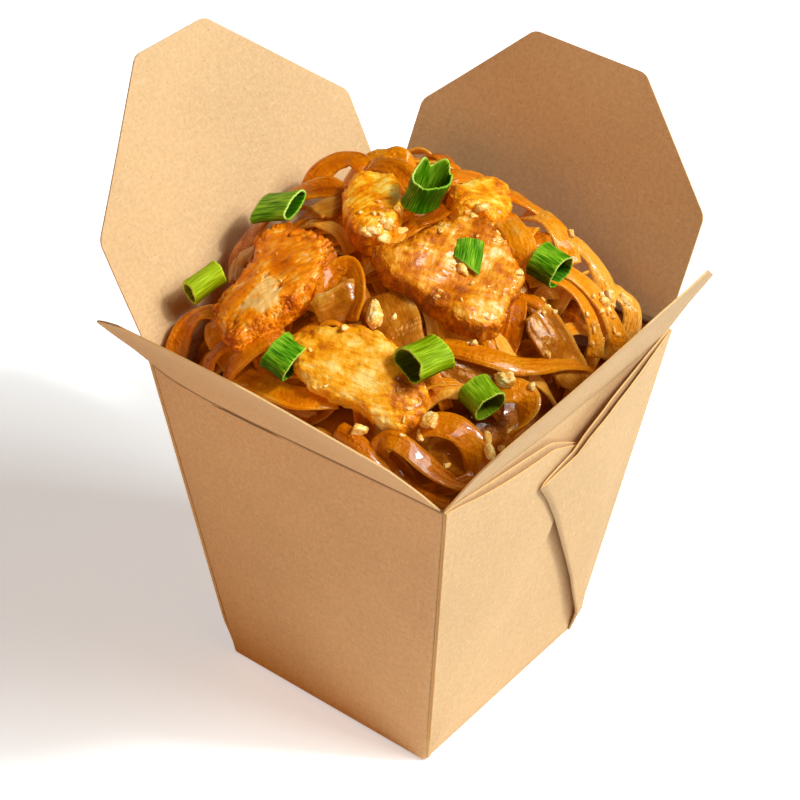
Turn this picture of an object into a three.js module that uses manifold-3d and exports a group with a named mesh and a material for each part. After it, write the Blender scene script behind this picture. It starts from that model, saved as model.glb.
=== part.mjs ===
// An open card noodle box: a tapered pail with folded gussets and hinged top flaps, heaped with
// flat noodles, chicken, onion, spring onion and crushed peanuts. Millimetres, +Z up, with the
// origin at the centre of the pail's underside.
import * as THREE from "three";
import { mergeVertices } from "three/addons/utils/BufferGeometryUtils.js";
import Module from "manifold-3d";

const wasm = await Module();
wasm.setup();

// Pail
const baseX = 68.3;
const baseY = 69.4;
const rimX = 94.6;
const rimY = 99.5;
const rimHeight = 105;
const card = 0.6;
const creaseGap = 0.45; // from the hinge line to the card on either side of it
const gap = 0.3;

// Gussets: the corner webs, folded flat against the two X walls
const webThickness = 1.2;
const webTop = rimHeight - 2.5;
// Each web's free corner is past the wall's middle and at a height. It stands off the wall by
// lift all over and by bulge near the top, its top edge rises over a straight line by arch, and
// its fold line bows out by bow.
const underWeb = { past: 10, height: 89, lift: 0, bulge: 0.5, arch: 5.5, bow: 4 };
const overWeb = { past: 10, height: 89, lift: webThickness + gap, bulge: 2.6, arch: 2, bow: 0 };

// Flaps: each is a trapezium that widens to its tips and then narrows to a short top edge. It
// leans out by tilt degrees, and bend curls it further with height and twists it along the wall;
// tips and top are each a width and a distance from the crease.
const flaps = {
  flap_right: { turn: 0, tilt: 28.6, bend: [0.088, -1.8], tips: [94.4, 26.5], top: [26.7, 58], shift: 0 },
  flap_back: { turn: 90, tilt: 26.1, bend: [0, 0], tips: [93.0, 30.5], top: [35.9, 59.9], shift: 0.9 },
  flap_left: { turn: 180, tilt: 28.4, bend: [0, 0], tips: [99.6, 34], top: [26.6, 71.3], shift: 2.3 },
  flap_front: { turn: 270, tilt: 38.6, bend: [0.07, 0], tips: [91.6, 31.8], top: [35.9, 62.5], shift: 0 },
};

// Heap: a lopsided dome that climbs towards the back corner of the pail
const heapEdge = 5.2;
const heapSlopeX = -0.25;
const heapSlopeY = 0.33;
const heapRise = 20.5;
const heapPower = 2.27;
const heapCentre = [1.2, -11.1];
const heapHalf = [53.5, 56.4];
const heapLowest = -9;
const heapCornerFall = 10; // how much lower it lies in the pail's corners
const coreCells = 12;
const noodleLayer = 3.5; // the loose noodles that lie over the core
const cornerDraw = 0.35; // how much the heap's corners are drawn in over the rim

// Noodles
const noodleWidth = 6.4;
const noodleThickness = 1.7;
const noodleCount = 120;
const noodleSteps = 15;

// Chicken, the uppermost first: middle, heading of the long side, half length, half width, half
// thickness, lean about the long and the cross axis, and how far the middle stands over the core
const chicken = {
  chicken_right: { at: [12.5, -1.5], heading: 28, size: [19.5, 14.5, 5.6], lean: [0, 2], above: 4.5, seed: 11 },
  chicken_left: { at: [-24.5, -27], heading: 66, size: [19.5, 11.5, 5.2], lean: [-4, 4], above: 4, seed: 3 },
  chicken_front: { at: [12, -32], heading: 20, size: [17.5, 13, 5], lean: [4, 3], above: 4, seed: 7 },
  chicken_top: { at: [-15.5, 5], heading: 74, size: [14.5, 10.5, 6], lean: [0, 0], above: 4, seed: 19 },
  chicken_back: { at: [1, 28], heading: 18, size: [11, 9, 5], lean: [0, 0], above: 3.5, seed: 23 },
};

// Spring onion: middle, heading and pitch of the tube, length, radius
const rings = {
  spring_onion_1: { at: [-44.3, -32, 121.5], heading: 88, pitch: 4, length: 12.5, radius: 5 },
  spring_onion_2: { at: [-40, -4.8, 132.3], heading: 38, pitch: 2, length: 12, radius: 5.6 },
  spring_onion_3: { at: [-5.5, 12.5, 143], heading: 54, pitch: 66, length: 11.5, radius: 6.3 },
  spring_onion_5: { at: [25, 23.5, 128.2], heading: -10, pitch: -8, length: 12, radius: 5.6 },
  spring_onion_6: { at: [-9.5, -41, 120], heading: -12, pitch: -10, length: 11.5, radius: 5.4 },
  spring_onion_7: { at: [21.5, -24.5, 124], heading: 64, pitch: 6, length: 12.5, radius: 5.6 },
  spring_onion_8: { at: [34.6, -18, 115], heading: -20, pitch: -20, length: 10.5, radius: 5.4 },
};
const ringWall = 0.9;

// Curved petals of onion: middle, heading, half length, half width, how far each of the two
// curvatures lifts the middle, lean about the long and the cross axis, and height
const petals = {
  onion_1: { at: [-8, -20.5], heading: 62, size: [7.5, 5], arch: [2, 3], lean: [38, 8], above: 3 },
  onion_2: { at: [8, -18.5], heading: -38, size: [11, 7], arch: [1.2, 2.4], lean: [8, 0], above: 1.5 },
  onion_3: { at: [28, -9], heading: 24, size: [11, 5.6], arch: [1, 1.8], lean: [4, 0], above: 1.5 },
  onion_4: { at: [34.8, -28], heading: 55, size: [7, 5], arch: [1, 2], lean: [10, 0], above: 2 },
  onion_5: { at: [-29.5, 7], heading: 70, size: [9, 6], arch: [2, 3], lean: [-8, 10], above: 2.5 },
  onion_6: { at: [-41, -16.5], heading: 100, size: [8.5, 4.6], arch: [2, 2.6], lean: [0, 0], above: 2 },
  onion_7: { at: [-3.5, -43.5], heading: 15, size: [6, 3], arch: [1, 1], lean: [0, 0], above: 1.5 },
  onion_8: { at: [37, 11], heading: -2, size: [10, 6.5], arch: [1.4, 1.4], lean: [0, 10], above: 2.5 },
};
const petalThick = 1.6;
const leaf = { at: [13.5, 1], heading: 70, size: [5, 4], arch: [0.3, 1.2], thick: 0.9 };

// Peanuts: the three large bits, and the places that the crumbs are strewn round
const nuts = {
  peanut_1: { at: [3.5, -25], size: [4.2, 2.6, 2.4], heading: 55, seed: 41 },
  peanut_2: { at: [35.5, -7.5], size: [3.2, 2.8, 2.4], heading: 10, seed: 43 },
  peanut_3: { at: [28.5, -34], size: [2.9, 2.6, 2.2], heading: 80, seed: 47 },
};
const crumbPlaces = [
  [-12, -3], [-8, -6], [-4, -3], [-15, 2], [6, 12], [12, 9], [28, 12], [33, 12], [17, -5], [2, 4],
  [20, 27], [41, 33], [38, 38], [36, 30], [-20, -30], [10, -38], [24, -36], [41, -10], [-30, -14],
  [1, -8],
];
const crumbRadius = 1.35;

const finest = 0.02; // joins leave no edge shorter than this

const colours = {
  box: 0xdcb083,
  noodle: 0xd98a2b,
  chicken: 0xe39a3c,
  onion: 0xb97a35,
  springOnion: 0x4e9a1c,
  peanut: 0xf0c47a,
};

// A repeatable stream of numbers from 0 to 1
function stream(seed) {
  let state = seed >>> 0;
  return () => {
    state = (state * 1664525 + 1013904223) >>> 0;
    return state / 4294967296;
  };
}

function toSolid(geometry) {
  const bare = geometry.clone();
  bare.deleteAttribute("normal");
  bare.deleteAttribute("uv");
  const merged = mergeVertices(bare, 1e-4);
  const vertProperties = merged.attributes.position.array;
  const make = (triVerts) => new wasm.Manifold(new wasm.Mesh({ numProp: 3, vertProperties, triVerts }));
  const triVerts = new Uint32Array(merged.index.array);
  const solid = make(triVerts);
  if (solid.volume() > 0) return solid;
  return make(triVerts.reverse());
}

function toGeometry(solid) {
  const mesh = solid.getMesh();
  const geometry = new THREE.BufferGeometry();
  geometry.setAttribute("position", new THREE.BufferAttribute(new Float32Array(mesh.vertProperties), 3));
  geometry.setIndex(new THREE.BufferAttribute(new Uint32Array(mesh.triVerts), 1));
  geometry.computeVertexNormals();
  return geometry;
}

function joined(solids) {
  return solids.reduce((whole, next) => whole.add(next));
}

function largest(solid) {
  return solid.decompose().sort((a, b) => b.volume() - a.volume())[0];
}

// A box of cells whose points are moved by place(a, b, c), with a, b and c from 0 to 1
function bentBox(cells, place) {
  const geometry = new THREE.BoxGeometry(1, 1, 1, ...cells);
  const at = geometry.attributes.position;
  for (let i = 0; i < at.count; i++) {
    const point = place(at.getX(i) + 0.5, at.getY(i) + 0.5, at.getZ(i) + 0.5);
    at.setXYZ(i, point.x, point.y, point.z);
  }
  return toSolid(geometry);
}

function mix(a, b, share) {
  return a + (b - a) * share;
}

// A point given outward from the axis, along a wall and up, turned to that wall's side
function turned(turn, out, along, up) {
  const angle = THREE.MathUtils.degToRad(turn);
  return new THREE.Vector3(
    out * Math.cos(angle) - along * Math.sin(angle),
    out * Math.sin(angle) + along * Math.cos(angle),
    up,
  );
}

// How far a side's wall stands from the axis at a height, and how far it reaches along each way
function halfOut(turn, z) {
  const across = turn % 180 > 0;
  return mix(across ? baseY : baseX, across ? rimY : rimX, z / rimHeight) / 2;
}

const halfAlong = (turn, z) => halfOut(turn + 90, z);

// The pail's outer form between two heights, or the form that much inside it
function taper(low, high, inset) {
  return bentBox([1, 1, 1], (a, b, c) => {
    const z = mix(low, high, c);
    const x = mix(-1, 1, a) * (halfOut(0, z) - inset);
    const y = mix(-1, 1, b) * (halfOut(90, z) - inset);
    return new THREE.Vector3(x, y, z);
  });
}

// The doubled web of one corner, from the corner edge to its free fold
function gusset(turn, side, { past, height, lift, bulge, arch, bow }) {
  return bentBox([8, 8, 1], (a, b, c) => {
    const share = mix(0.03, 1, b);
    const cornerZ = webTop * share;
    const foldZ = height * share;
    const cornerAlong = side * halfAlong(turn, cornerZ);
    const bowed = past * share + bow * Math.sin(Math.PI * share);
    const foldAlong = side * (mix(baseY / 2, 0, share) - bowed);
    const z = mix(cornerZ, foldZ, a) + arch * Math.sin(Math.PI * a) * share ** 3;
    const fused = a < 0.01 ? -0.5 : gap;
    const stand = fused + lift * Math.min(1, a * 1.6) + bulge * Math.sin(2.5 * a) * share ** 4;
    return turned(turn, halfOut(turn, z) + stand + c * webThickness, mix(cornerAlong, foldAlong, a), z);
  });
}

function pail() {
  const shell = taper(0, rimHeight - creaseGap, 0).subtract(taper(card, rimHeight + 1, card));
  const webs = [];
  for (const turn of [0, 180]) {
    webs.push(gusset(turn, -1, underWeb), gusset(turn, 1, overWeb));
  }
  return joined([shell, ...webs]);
}

// A flap, from its crease up: share b climbs to the tips in the first third, then to the top edge
function flap({ turn, tilt, bend, tips, top, shift }) {
  const crease = halfAlong(turn, rimHeight) * 2 - 2 * card;
  const hinge = halfOut(turn, rimHeight) - card / 2;
  return bentBox([8, 9, 1], (a, b, c) => {
    const low = b <= 1 / 3 + 1e-6;
    const share = low ? b * 3 : (b - 1 / 3) * 1.5;
    const [width, v] = [0, 1].map((i) =>
      low ? mix([crease, creaseGap][i], tips[i], share) : mix(tips[i], top[i], share),
    );
    const along = mix(-0.5, 0.5, a) * width + (low ? 0 : shift * share);
    const start = THREE.MathUtils.degToRad(tilt + (bend[1] * along * 2) / tips[0]);
    const curl = THREE.MathUtils.degToRad(bend[0]) + 1e-9;
    const end = start + curl * v;
    const skin = (c - 0.5) * card;
    const out = hinge + (Math.cos(start) - Math.cos(end)) / curl + skin * Math.cos(end);
    const up = rimHeight + (Math.sin(end) - Math.sin(start)) / curl - skin * Math.sin(end);
    return turned(turn, out, along, up);
  });
}

function heapTop(x, y) {
  const fall =
    (Math.abs(x - heapCentre[0]) / heapHalf[0]) ** heapPower +
    (Math.abs(y - heapCentre[1]) / heapHalf[1]) ** heapPower;
  const corner = Math.abs((4 * x * y) / (rimX * rimY)) ** 5;
  const rise = heapEdge + heapSlopeX * x + heapSlopeY * y + heapRise * (1 - fall);
  return rimHeight + Math.max(heapLowest, rise - heapCornerFall * corner);
}

const coreTop = (x, y) => heapTop(x, y) - noodleLayer;

// The packed noodles that fill the pail up to the loose ones, with the top raised by raise
function core(raise) {
  const clear = card + gap;
  return bentBox([coreCells, coreCells, 1], (a, b, c) => {
    const share = (part) => Math.sin(mix(-1.52, 1.52, part)) / Math.sin(1.52);
    const rimHalfX = halfOut(0, rimHeight) - clear;
    const rimHalfY = halfOut(90, rimHeight) - clear;
    const z = c < 0.5 ? clear : coreTop(share(a) * rimHalfX, share(b) * rimHalfY) + raise;
    const over = cornerDraw * THREE.MathUtils.clamp((z - rimHeight) / 10, 0, 1);
    const x = share(a) * Math.sqrt(1 - over * share(b) ** 2);
    const y = share(b) * Math.sqrt(1 - over * share(a) ** 2);
    const level = Math.min(z, rimHeight);
    return new THREE.Vector3(x * (halfOut(0, level) - clear), y * (halfOut(90, level) - clear), z);
  });
}

const coreSolid = core(0);
const coreRaised = core(gap);

// The upward normal of the heap
function heapNormal(x, y) {
  const d = 1.5;
  const slopeX = (coreTop(x + d, y) - coreTop(x - d, y)) / (2 * d);
  const slopeY = (coreTop(x, y + d) - coreTop(x, y - d)) / (2 * d);
  return new THREE.Vector3(-slopeX, -slopeY, 1).normalize();
}

// Turns a solid made round its own origin so that its X runs along heading and its Z along up,
// then leans it about its long and its cross axis
function laid(solid, up, heading, leanLong, leanCross) {
  const angle = THREE.MathUtils.degToRad(heading);
  const ahead = new THREE.Vector3(Math.cos(angle), Math.sin(angle), 0);
  const side = new THREE.Vector3().crossVectors(up, ahead).normalize();
  const matrix = new THREE.Matrix4().makeBasis(new THREE.Vector3().crossVectors(side, up), side, up);
  matrix.multiply(new THREE.Matrix4().makeRotationX(THREE.MathUtils.degToRad(leanLong)));
  matrix.multiply(new THREE.Matrix4().makeRotationY(THREE.MathUtils.degToRad(leanCross)));
  return solid.transform(matrix.elements);
}

// A lump of meat or nut: a rounded slab with uneven sides
function lump(size, detail, seed, square) {
  const draw = stream(seed);
  const waves = Array.from({ length: 7 }, () => ({
    way: new THREE.Vector3(draw() - 0.5, draw() - 0.5, draw() - 0.5).normalize(),
    rate: mix(2, 5, draw()),
    phase: draw() * 6.28,
    depth: mix(0.03, 0.075, draw()),
  }));
  const geometry = new THREE.IcosahedronGeometry(1, detail);
  const at = geometry.attributes.position;
  const point = new THREE.Vector3();
  for (let i = 0; i < at.count; i++) {
    point.fromBufferAttribute(at, i).normalize();
    const powers = point.toArray().map((part) => Math.abs(part) ** square);
    const reach = (powers[0] + powers[1] + powers[2]) ** (-1 / square);
    const wave = ({ way, rate, phase, depth }) => depth * Math.sin(2 * rate * point.dot(way) + phase);
    point.multiplyScalar(waves.reduce((sum, each) => sum + wave(each), 1) * reach);
    at.setXYZ(i, point.x * size[0], point.y * size[1], point.z * size[2]);
  }
  return toSolid(geometry);
}

// A slightly flattened tube along X, with its bore left out when it is solid
function tube(length, radius, solid) {
  const outline = new THREE.Shape();
  outline.absellipse(0, 0, radius, radius * 0.92, 0, Math.PI * 2);
  const bore = new THREE.Path();
  bore.absellipse(0, 0, radius - ringWall, radius * 0.92 - ringWall, 0, Math.PI * 2, true);
  if (!solid) outline.holes.push(bore);
  const options = { depth: length, steps: 1, curveSegments: 6, bevelEnabled: false };
  const geometry = new THREE.ExtrudeGeometry(outline, options);
  geometry.translate(0, 0, -length / 2);
  geometry.rotateY(Math.PI / 2);
  return toSolid(geometry);
}

// A petal: a thin rounded patch, arched both ways
function petal(size, arch, thick, extra) {
  return bentBox([6, 4, 1], (a, b, c) => {
    const s = mix(-1, 1, a);
    const t = mix(-1, 1, b);
    const round = Math.sqrt(Math.max(0.12, 1 - Math.abs(s) ** 2.6));
    const z = arch[0] * (1 - s * s) + arch[1] * (1 - (t * round) ** 2) - (arch[0] + arch[1]) / 2;
    return new THREE.Vector3(s * size[0], t * round * size[1], z - extra + c * (thick + 2 * extra));
  });
}

const placed = {};
const cleared = [];

function crosses(solid, others) {
  return others.some((other) => solid.intersect(other).volume() > 1e-6);
}

// Beds a soft piece into the core and round the pieces bedded before it. shape(extra) makes it
// round its own origin, that much larger on every side.
function bed(name, shape, { at, heading, lean, above }) {
  const to = [at[0], at[1], coreTop(at[0], at[1]) + above];
  const lie = (solid) => laid(solid, heapNormal(...at), heading, ...lean).translate(to);
  const cut = [coreRaised, ...cleared].reduce((rest, other) => rest.subtract(other), lie(shape(0)));
  placed[name] = largest(cut);
  cleared.push(lie(shape(gap)));
}

// Lets a firm piece down until its middle is above over the core, or it meets what lies there
function settle(name, solid, at, above) {
  const rest = coreTop(at[0], at[1]) + above;
  const others = Object.values(placed);
  let z = rest + 22;
  while (z > rest && !crosses(solid.translate([at[0], at[1], z - 0.5]), others)) z -= 0.25;
  placed[name] = largest(solid.translate([at[0], at[1], Math.max(z, rest)]).subtract(coreRaised));
}

// A noodle: a flat strip on a curling path that leaves the core and dips back into it
function noodle({ centre, radius, from, sweep, stretch, lift, roll }, extra) {
  const points = [];
  for (let k = 0; k <= 12; k++) {
    const share = k / 12;
    const angle = from + sweep * share;
    const x = centre[0] + radius * stretch * Math.cos(angle);
    const y = centre[1] + radius * Math.sin(angle);
    const rise = (lift + 2.2) * Math.sin(Math.PI * share) ** 0.6;
    points.push(new THREE.Vector3(x, y, coreTop(x, y) - 1.6 + rise));
  }
  const path = new THREE.CatmullRomCurve3(points);
  return bentBox([1, 1, noodleSteps], (a, b, c) => {
    const at = path.getPoint(c);
    const ahead = path.getTangent(c);
    const side = new THREE.Vector3().crossVectors(ahead, heapNormal(at.x, at.y)).normalize();
    side.applyAxisAngle(ahead, roll * Math.sin(Math.PI * c));
    const face = new THREE.Vector3().crossVectors(side, ahead).normalize();
    at.addScaledVector(side, (a - 0.5) * (noodleWidth + extra));
    return at.addScaledVector(face, (b - 0.5) * (noodleThickness + extra));
  });
}

// Noodles spread evenly over the heap; one that would cross a topping or the card is turned and
// made shorter, and left out if that doesn't free it
function heap(others) {
  const draw = stream(53);
  const clearX = halfOut(0, rimHeight) - card - gap;
  const clearY = halfOut(90, rimHeight) - card - gap;
  const pieces = [];
  for (let i = 0; i < noodleCount; i++) {
    const turnOf = i * 2.39996;
    const way = [Math.cos(turnOf), Math.sin(turnOf)];
    const corner = Math.max(Math.abs(way[0]), Math.abs(way[1])) ** -0.7;
    const reach = Math.sqrt((i + 0.5) / noodleCount) * corner;
    const plan = {
      centre: [39 * reach * way[0], 41 * reach * way[1]],
      radius: mix(6, 13, draw()),
      from: draw() * 6.28,
      sweep: mix(2.2, 4, draw()),
      stretch: mix(0.7, 1.3, draw()),
      lift: mix(1.5, 4.5, draw()),
      roll: mix(-1.1, 1.1, draw()),
    };
    for (let attempt = 0; attempt < 8; attempt++) {
      const wide = noodle(plan, 0.7);
      const { min, max } = wide.boundingBox();
      const inside = -min[0] < clearX && max[0] < clearX && -min[1] < clearY && max[1] < clearY;
      if (inside && !crosses(wide, others)) {
        pieces.push(noodle(plan, 0));
        break;
      }
      plan.from += 0.9;
      if (attempt % 2) plan.sweep *= 0.75;
    }
  }
  return largest(joined([coreSolid, ...pieces]));
}

// Crumbs of peanut, each fused to the piece that lies under its place
function strew(solids) {
  const draw = stream(5);
  const down = new THREE.Vector3(0, 0, -1);
  for (const [x, y] of crumbPlaces) {
    const caster = new THREE.Raycaster(new THREE.Vector3(x, y, 300), down);
    const hits = Object.entries(solids)
      .map(([name, solid]) => [name, caster.intersectObject(new THREE.Mesh(toGeometry(solid)))[0]])
      .filter(([, hit]) => hit)
      .sort((a, b) => a[1].distance - b[1].distance);
    const [name, hit] = hits[0];
    const size = [0, 1, 2].map(() => crumbRadius * mix(0.75, 1.35, draw()));
    const crumb = lump(size, 0, Math.floor(draw() * 999), 2).translate(hit.point.toArray());
    const others = Object.entries(solids).filter(([other]) => other !== name);
    if (crosses(crumb, others.map(([, solid]) => solid))) continue;
    if (name.startsWith("chicken") || name.startsWith("onion") || name === "noodles") {
      solids[name] = solids[name].add(crumb);
    }
  }
}

const group = new THREE.Group();

function add(name, solid, colour, roughness) {
  const material = new THREE.MeshStandardMaterial({ color: colour, roughness, metalness: 0 });
  const mesh = new THREE.Mesh(toGeometry(solid.asOriginal().simplify(finest)), material);
  mesh.name = name;
  group.add(mesh);
}

const box = { box_body: pail() };
for (const [name, shape] of Object.entries(flaps)) box[name] = flap(shape);
for (const [name, solid] of Object.entries(box)) add(name, solid, colours.box, 0.85);

const upright = new THREE.Vector3(0, 0, 1);
for (const [name, { at, heading, pitch, length, radius }] of Object.entries(rings)) {
  const lie = (solid) => laid(solid, upright, heading, 0, -pitch).translate(at);
  placed[name] = largest(lie(tube(length, radius, false)).subtract(coreRaised));
  cleared.push(lie(tube(length + 2 * gap, radius + gap, true)));
}
const grown = (size, extra) => size.map((side) => side + extra);
for (const [name, piece] of Object.entries(chicken)) {
  bed(name, (extra) => lump(grown(piece.size, extra), 3, piece.seed, 3), piece);
}
for (const [name, piece] of Object.entries(petals)) {
  bed(name, (extra) => petal(grown(piece.size, extra), piece.arch, petalThick, extra), piece);
}
for (const [name, { at, size, heading, seed }] of Object.entries(nuts)) {
  settle(name, laid(lump(size, 1, seed, 2.4), heapNormal(...at), heading, 0, 0), at, size[2] * 0.7);
}
const leafSolid = petal(leaf.size, leaf.arch, leaf.thick, 0);
settle("spring_onion_4", laid(leafSolid, heapNormal(...leaf.at), leaf.heading, 0, 0), leaf.at, 1);

const food = { noodles: heap([...Object.values(box), ...Object.values(placed)]), ...placed };
strew(food);

const foodColour = (name) => {
  if (name.startsWith("chicken")) return colours.chicken;
  if (name.startsWith("onion")) return colours.onion;
  if (name.startsWith("spring")) return colours.springOnion;
  return name.startsWith("peanut") ? colours.peanut : colours.noodle;
};
for (const [name, solid] of Object.entries(food)) add(name, solid, foodColour(name), 0.4);

export default group;
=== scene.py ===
import math
import random

import bmesh
import bpy
import numpy as np
from mathutils import Matrix, Vector, noise


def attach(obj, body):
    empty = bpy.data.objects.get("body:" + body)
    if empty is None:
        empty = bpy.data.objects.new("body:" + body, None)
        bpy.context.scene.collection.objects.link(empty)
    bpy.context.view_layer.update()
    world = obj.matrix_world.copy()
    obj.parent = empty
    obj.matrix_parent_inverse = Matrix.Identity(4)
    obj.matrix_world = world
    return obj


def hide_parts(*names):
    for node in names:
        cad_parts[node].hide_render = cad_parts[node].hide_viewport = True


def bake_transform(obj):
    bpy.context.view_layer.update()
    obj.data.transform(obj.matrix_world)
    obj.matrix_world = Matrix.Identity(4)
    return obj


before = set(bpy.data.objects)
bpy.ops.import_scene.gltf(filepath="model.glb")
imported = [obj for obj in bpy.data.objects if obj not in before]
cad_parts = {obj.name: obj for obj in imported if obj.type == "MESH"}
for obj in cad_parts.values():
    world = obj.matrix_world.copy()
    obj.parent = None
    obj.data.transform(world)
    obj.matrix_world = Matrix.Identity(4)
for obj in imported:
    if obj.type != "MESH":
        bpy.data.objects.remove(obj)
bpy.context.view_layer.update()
mm = 0.001  # every size below is in millimetres and is scaled as a mesh is finished


def mix(a, b, share):
    return a + (b - a) * share


def smooth(low, high, value):
    share = min(1.0, max(0.0, (value - low) / (high - low)))
    return share * share * (3 - 2 * share)


def along(points, value):
    # straight steps through a table of (value, result)
    return float(np.interp(value, [p[0] for p in points], [p[1] for p in points]))


def tone(code):
    # a colour as people write it, turned to the linear one that shaders use
    parts = [int(code[i:i + 2], 16) / 255 for i in (1, 3, 5)]
    return tuple(p / 12.92 if p <= 0.04045 else ((p + 0.055) / 1.055) ** 2.4 for p in parts) + (1.0,)


def camel(node, kind):
    # the name of the piece that stands for a node
    first, *others = node.split("_")
    return first + "".join(part.capitalize() for part in others) + kind


def finish(name, bm, materials, body="box", stands=()):
    # makes the object, in metres, on its body
    bmesh.ops.scale(bm, vec=(mm, mm, mm), verts=bm.verts)
    mesh = bpy.data.meshes.new(name)
    bm.to_mesh(mesh)
    bm.free()
    for material in materials:
        mesh.materials.append(material)
    mesh.shade_smooth()
    piece = bpy.data.objects.new(name, mesh)
    bpy.context.scene.collection.objects.link(piece)
    if body:
        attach(piece, body)
    if stands:
        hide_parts(*stands)
    return piece


def thicken(piece, thickness, offset, rim=1):
    solidify = piece.modifiers.new("thickness", "SOLIDIFY")
    solidify.thickness = thickness * mm
    solidify.offset = offset
    solidify.use_rim = True
    solidify.use_even_offset = True
    solidify.material_offset_rim = rim


def applyModifiers(piece, sharp=40):
    # makes the modifiers' result the mesh, with its cut edges crisp
    bpy.context.view_layer.update()
    graph = bpy.context.evaluated_depsgraph_get()
    mesh = bpy.data.meshes.new_from_object(piece.evaluated_get(graph))
    piece.modifiers.clear()
    piece.data = mesh
    mesh.set_sharp_from_angle(angle=math.radians(sharp))


def newMaterial(name):
    material = bpy.data.materials.new(name)
    material.use_nodes = True
    return material, material.node_tree, material.node_tree.nodes["Principled BSDF"]


def feed(tree, node, inputs):
    # an input that is given a socket is linked to it, and any other is set
    for key, value in inputs.items():
        if isinstance(value, bpy.types.NodeSocket):
            tree.links.new(value, node.inputs[key])
        else:
            node.inputs[key].default_value = value


def addNode(tree, kind, inputs=None, **settings):
    node = tree.nodes.new(kind)
    for key, value in settings.items():
        setattr(node, key, value)
    feed(tree, node, inputs or {})
    return node


def ramp(tree, source, stops):
    node = addNode(tree, "ShaderNodeValToRGB", {"Fac": source})
    elements = node.color_ramp.elements
    while len(elements) < len(stops):
        elements.new(0.5)
    for element, (place, colour) in zip(elements, stops):
        element.position = place
        element.color = tone(colour) if isinstance(colour, str) else (colour, colour, colour, 1)
    return node.outputs["Color"]


def blendColour(tree, share, a, b, how="MIX"):
    node = addNode(tree, "ShaderNodeMix", data_type="RGBA", blend_type=how)
    feed(tree, node, {0: share, 6: a, 7: b})
    return node.outputs[2]


def maths(tree, how, a, b=0.0, c=0.0, clamp=False):
    node = addNode(tree, "ShaderNodeMath", operation=how, use_clamp=clamp)
    feed(tree, node, {0: a, 1: b, 2: c})
    return node.outputs[0]


def swing(tree, mask, weight, base):
    # a mask about its middle, weighed and added to what is there
    return maths(tree, "MULTIPLY_ADD", maths(tree, "SUBTRACT", mask, 0.5), weight, base)


def noiseOf(tree, vector, scale, detail=3.0, roughness=0.55, distortion=0.0):
    inputs = {"Vector": vector, "Scale": scale, "Detail": detail, "Roughness": roughness, "Distortion": distortion}
    return addNode(tree, "ShaderNodeTexNoise", inputs).outputs["Fac"]


def objectPlace(tree):
    return addNode(tree, "ShaderNodeTexCoord").outputs["Object"]


def uvPlace(tree, name):
    return addNode(tree, "ShaderNodeUVMap", uv_map=name).outputs["UV"]


def stretched(tree, vector, scale, turn=(0, 0, 0)):
    inputs = {"Vector": vector, "Scale": scale, "Rotation": turn}
    return addNode(tree, "ShaderNodeMapping", inputs).outputs["Vector"]


def attribute(tree, name):
    return addNode(tree, "ShaderNodeAttribute", attribute_name=name, attribute_type="GEOMETRY").outputs["Fac"]


def bump(tree, shader, height, strength, distance):
    node = addNode(tree, "ShaderNodeBump", {"Height": height, "Strength": strength, "Distance": distance * mm})
    tree.links.new(node.outputs["Normal"], shader.inputs["Normal"])


def newGroup(name, inputs, outputs):
    group = bpy.data.node_groups.new(name, "ShaderNodeTree")
    for label, kind, value in inputs:
        socket = group.interface.new_socket(name=label, in_out="INPUT", socket_type=kind)
        if value is not None:
            socket.default_value = value
    for label, kind in outputs:
        group.interface.new_socket(name=label, in_out="OUTPUT", socket_type=kind)
    start = group.nodes.new("NodeGroupInput")
    end = group.nodes.new("NodeGroupOutput")
    return group, start.outputs, end.inputs


def useGroup(tree, group, inputs):
    return addNode(tree, "ShaderNodeGroup", inputs, node_tree=group).outputs


def glow(tree, shader, colour, strength):
    # the colour of the food, and a little of it again as painted glow, which lifts the food's shade with its own
    # colour
    feed(tree, shader, {"Base Color": colour, "Emission Color": colour, "Emission Strength": strength})


def soften(tree, shader, weight, radius, depth):
    inputs = {"Subsurface Weight": weight, "Subsurface Radius": radius, "Subsurface Scale": depth * mm}
    feed(tree, shader, inputs)


def newLayers(bm, *names):
    return [bm.verts.layers.float.new(name) for name in names]


def unwrap(made, uv, wide=1.0, tall=1.0, at=(0.0, 0.0)):
    # a fresh grid's own square is its map
    for face in {face for vert in made for face in vert.link_faces}:
        for loop in face.loops:
            x, y = loop.vert.co.xy
            loop[uv].uv = ((x + 1) / 2 * wide + at[0], (y + 1) / 2 * tall + at[1])


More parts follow.
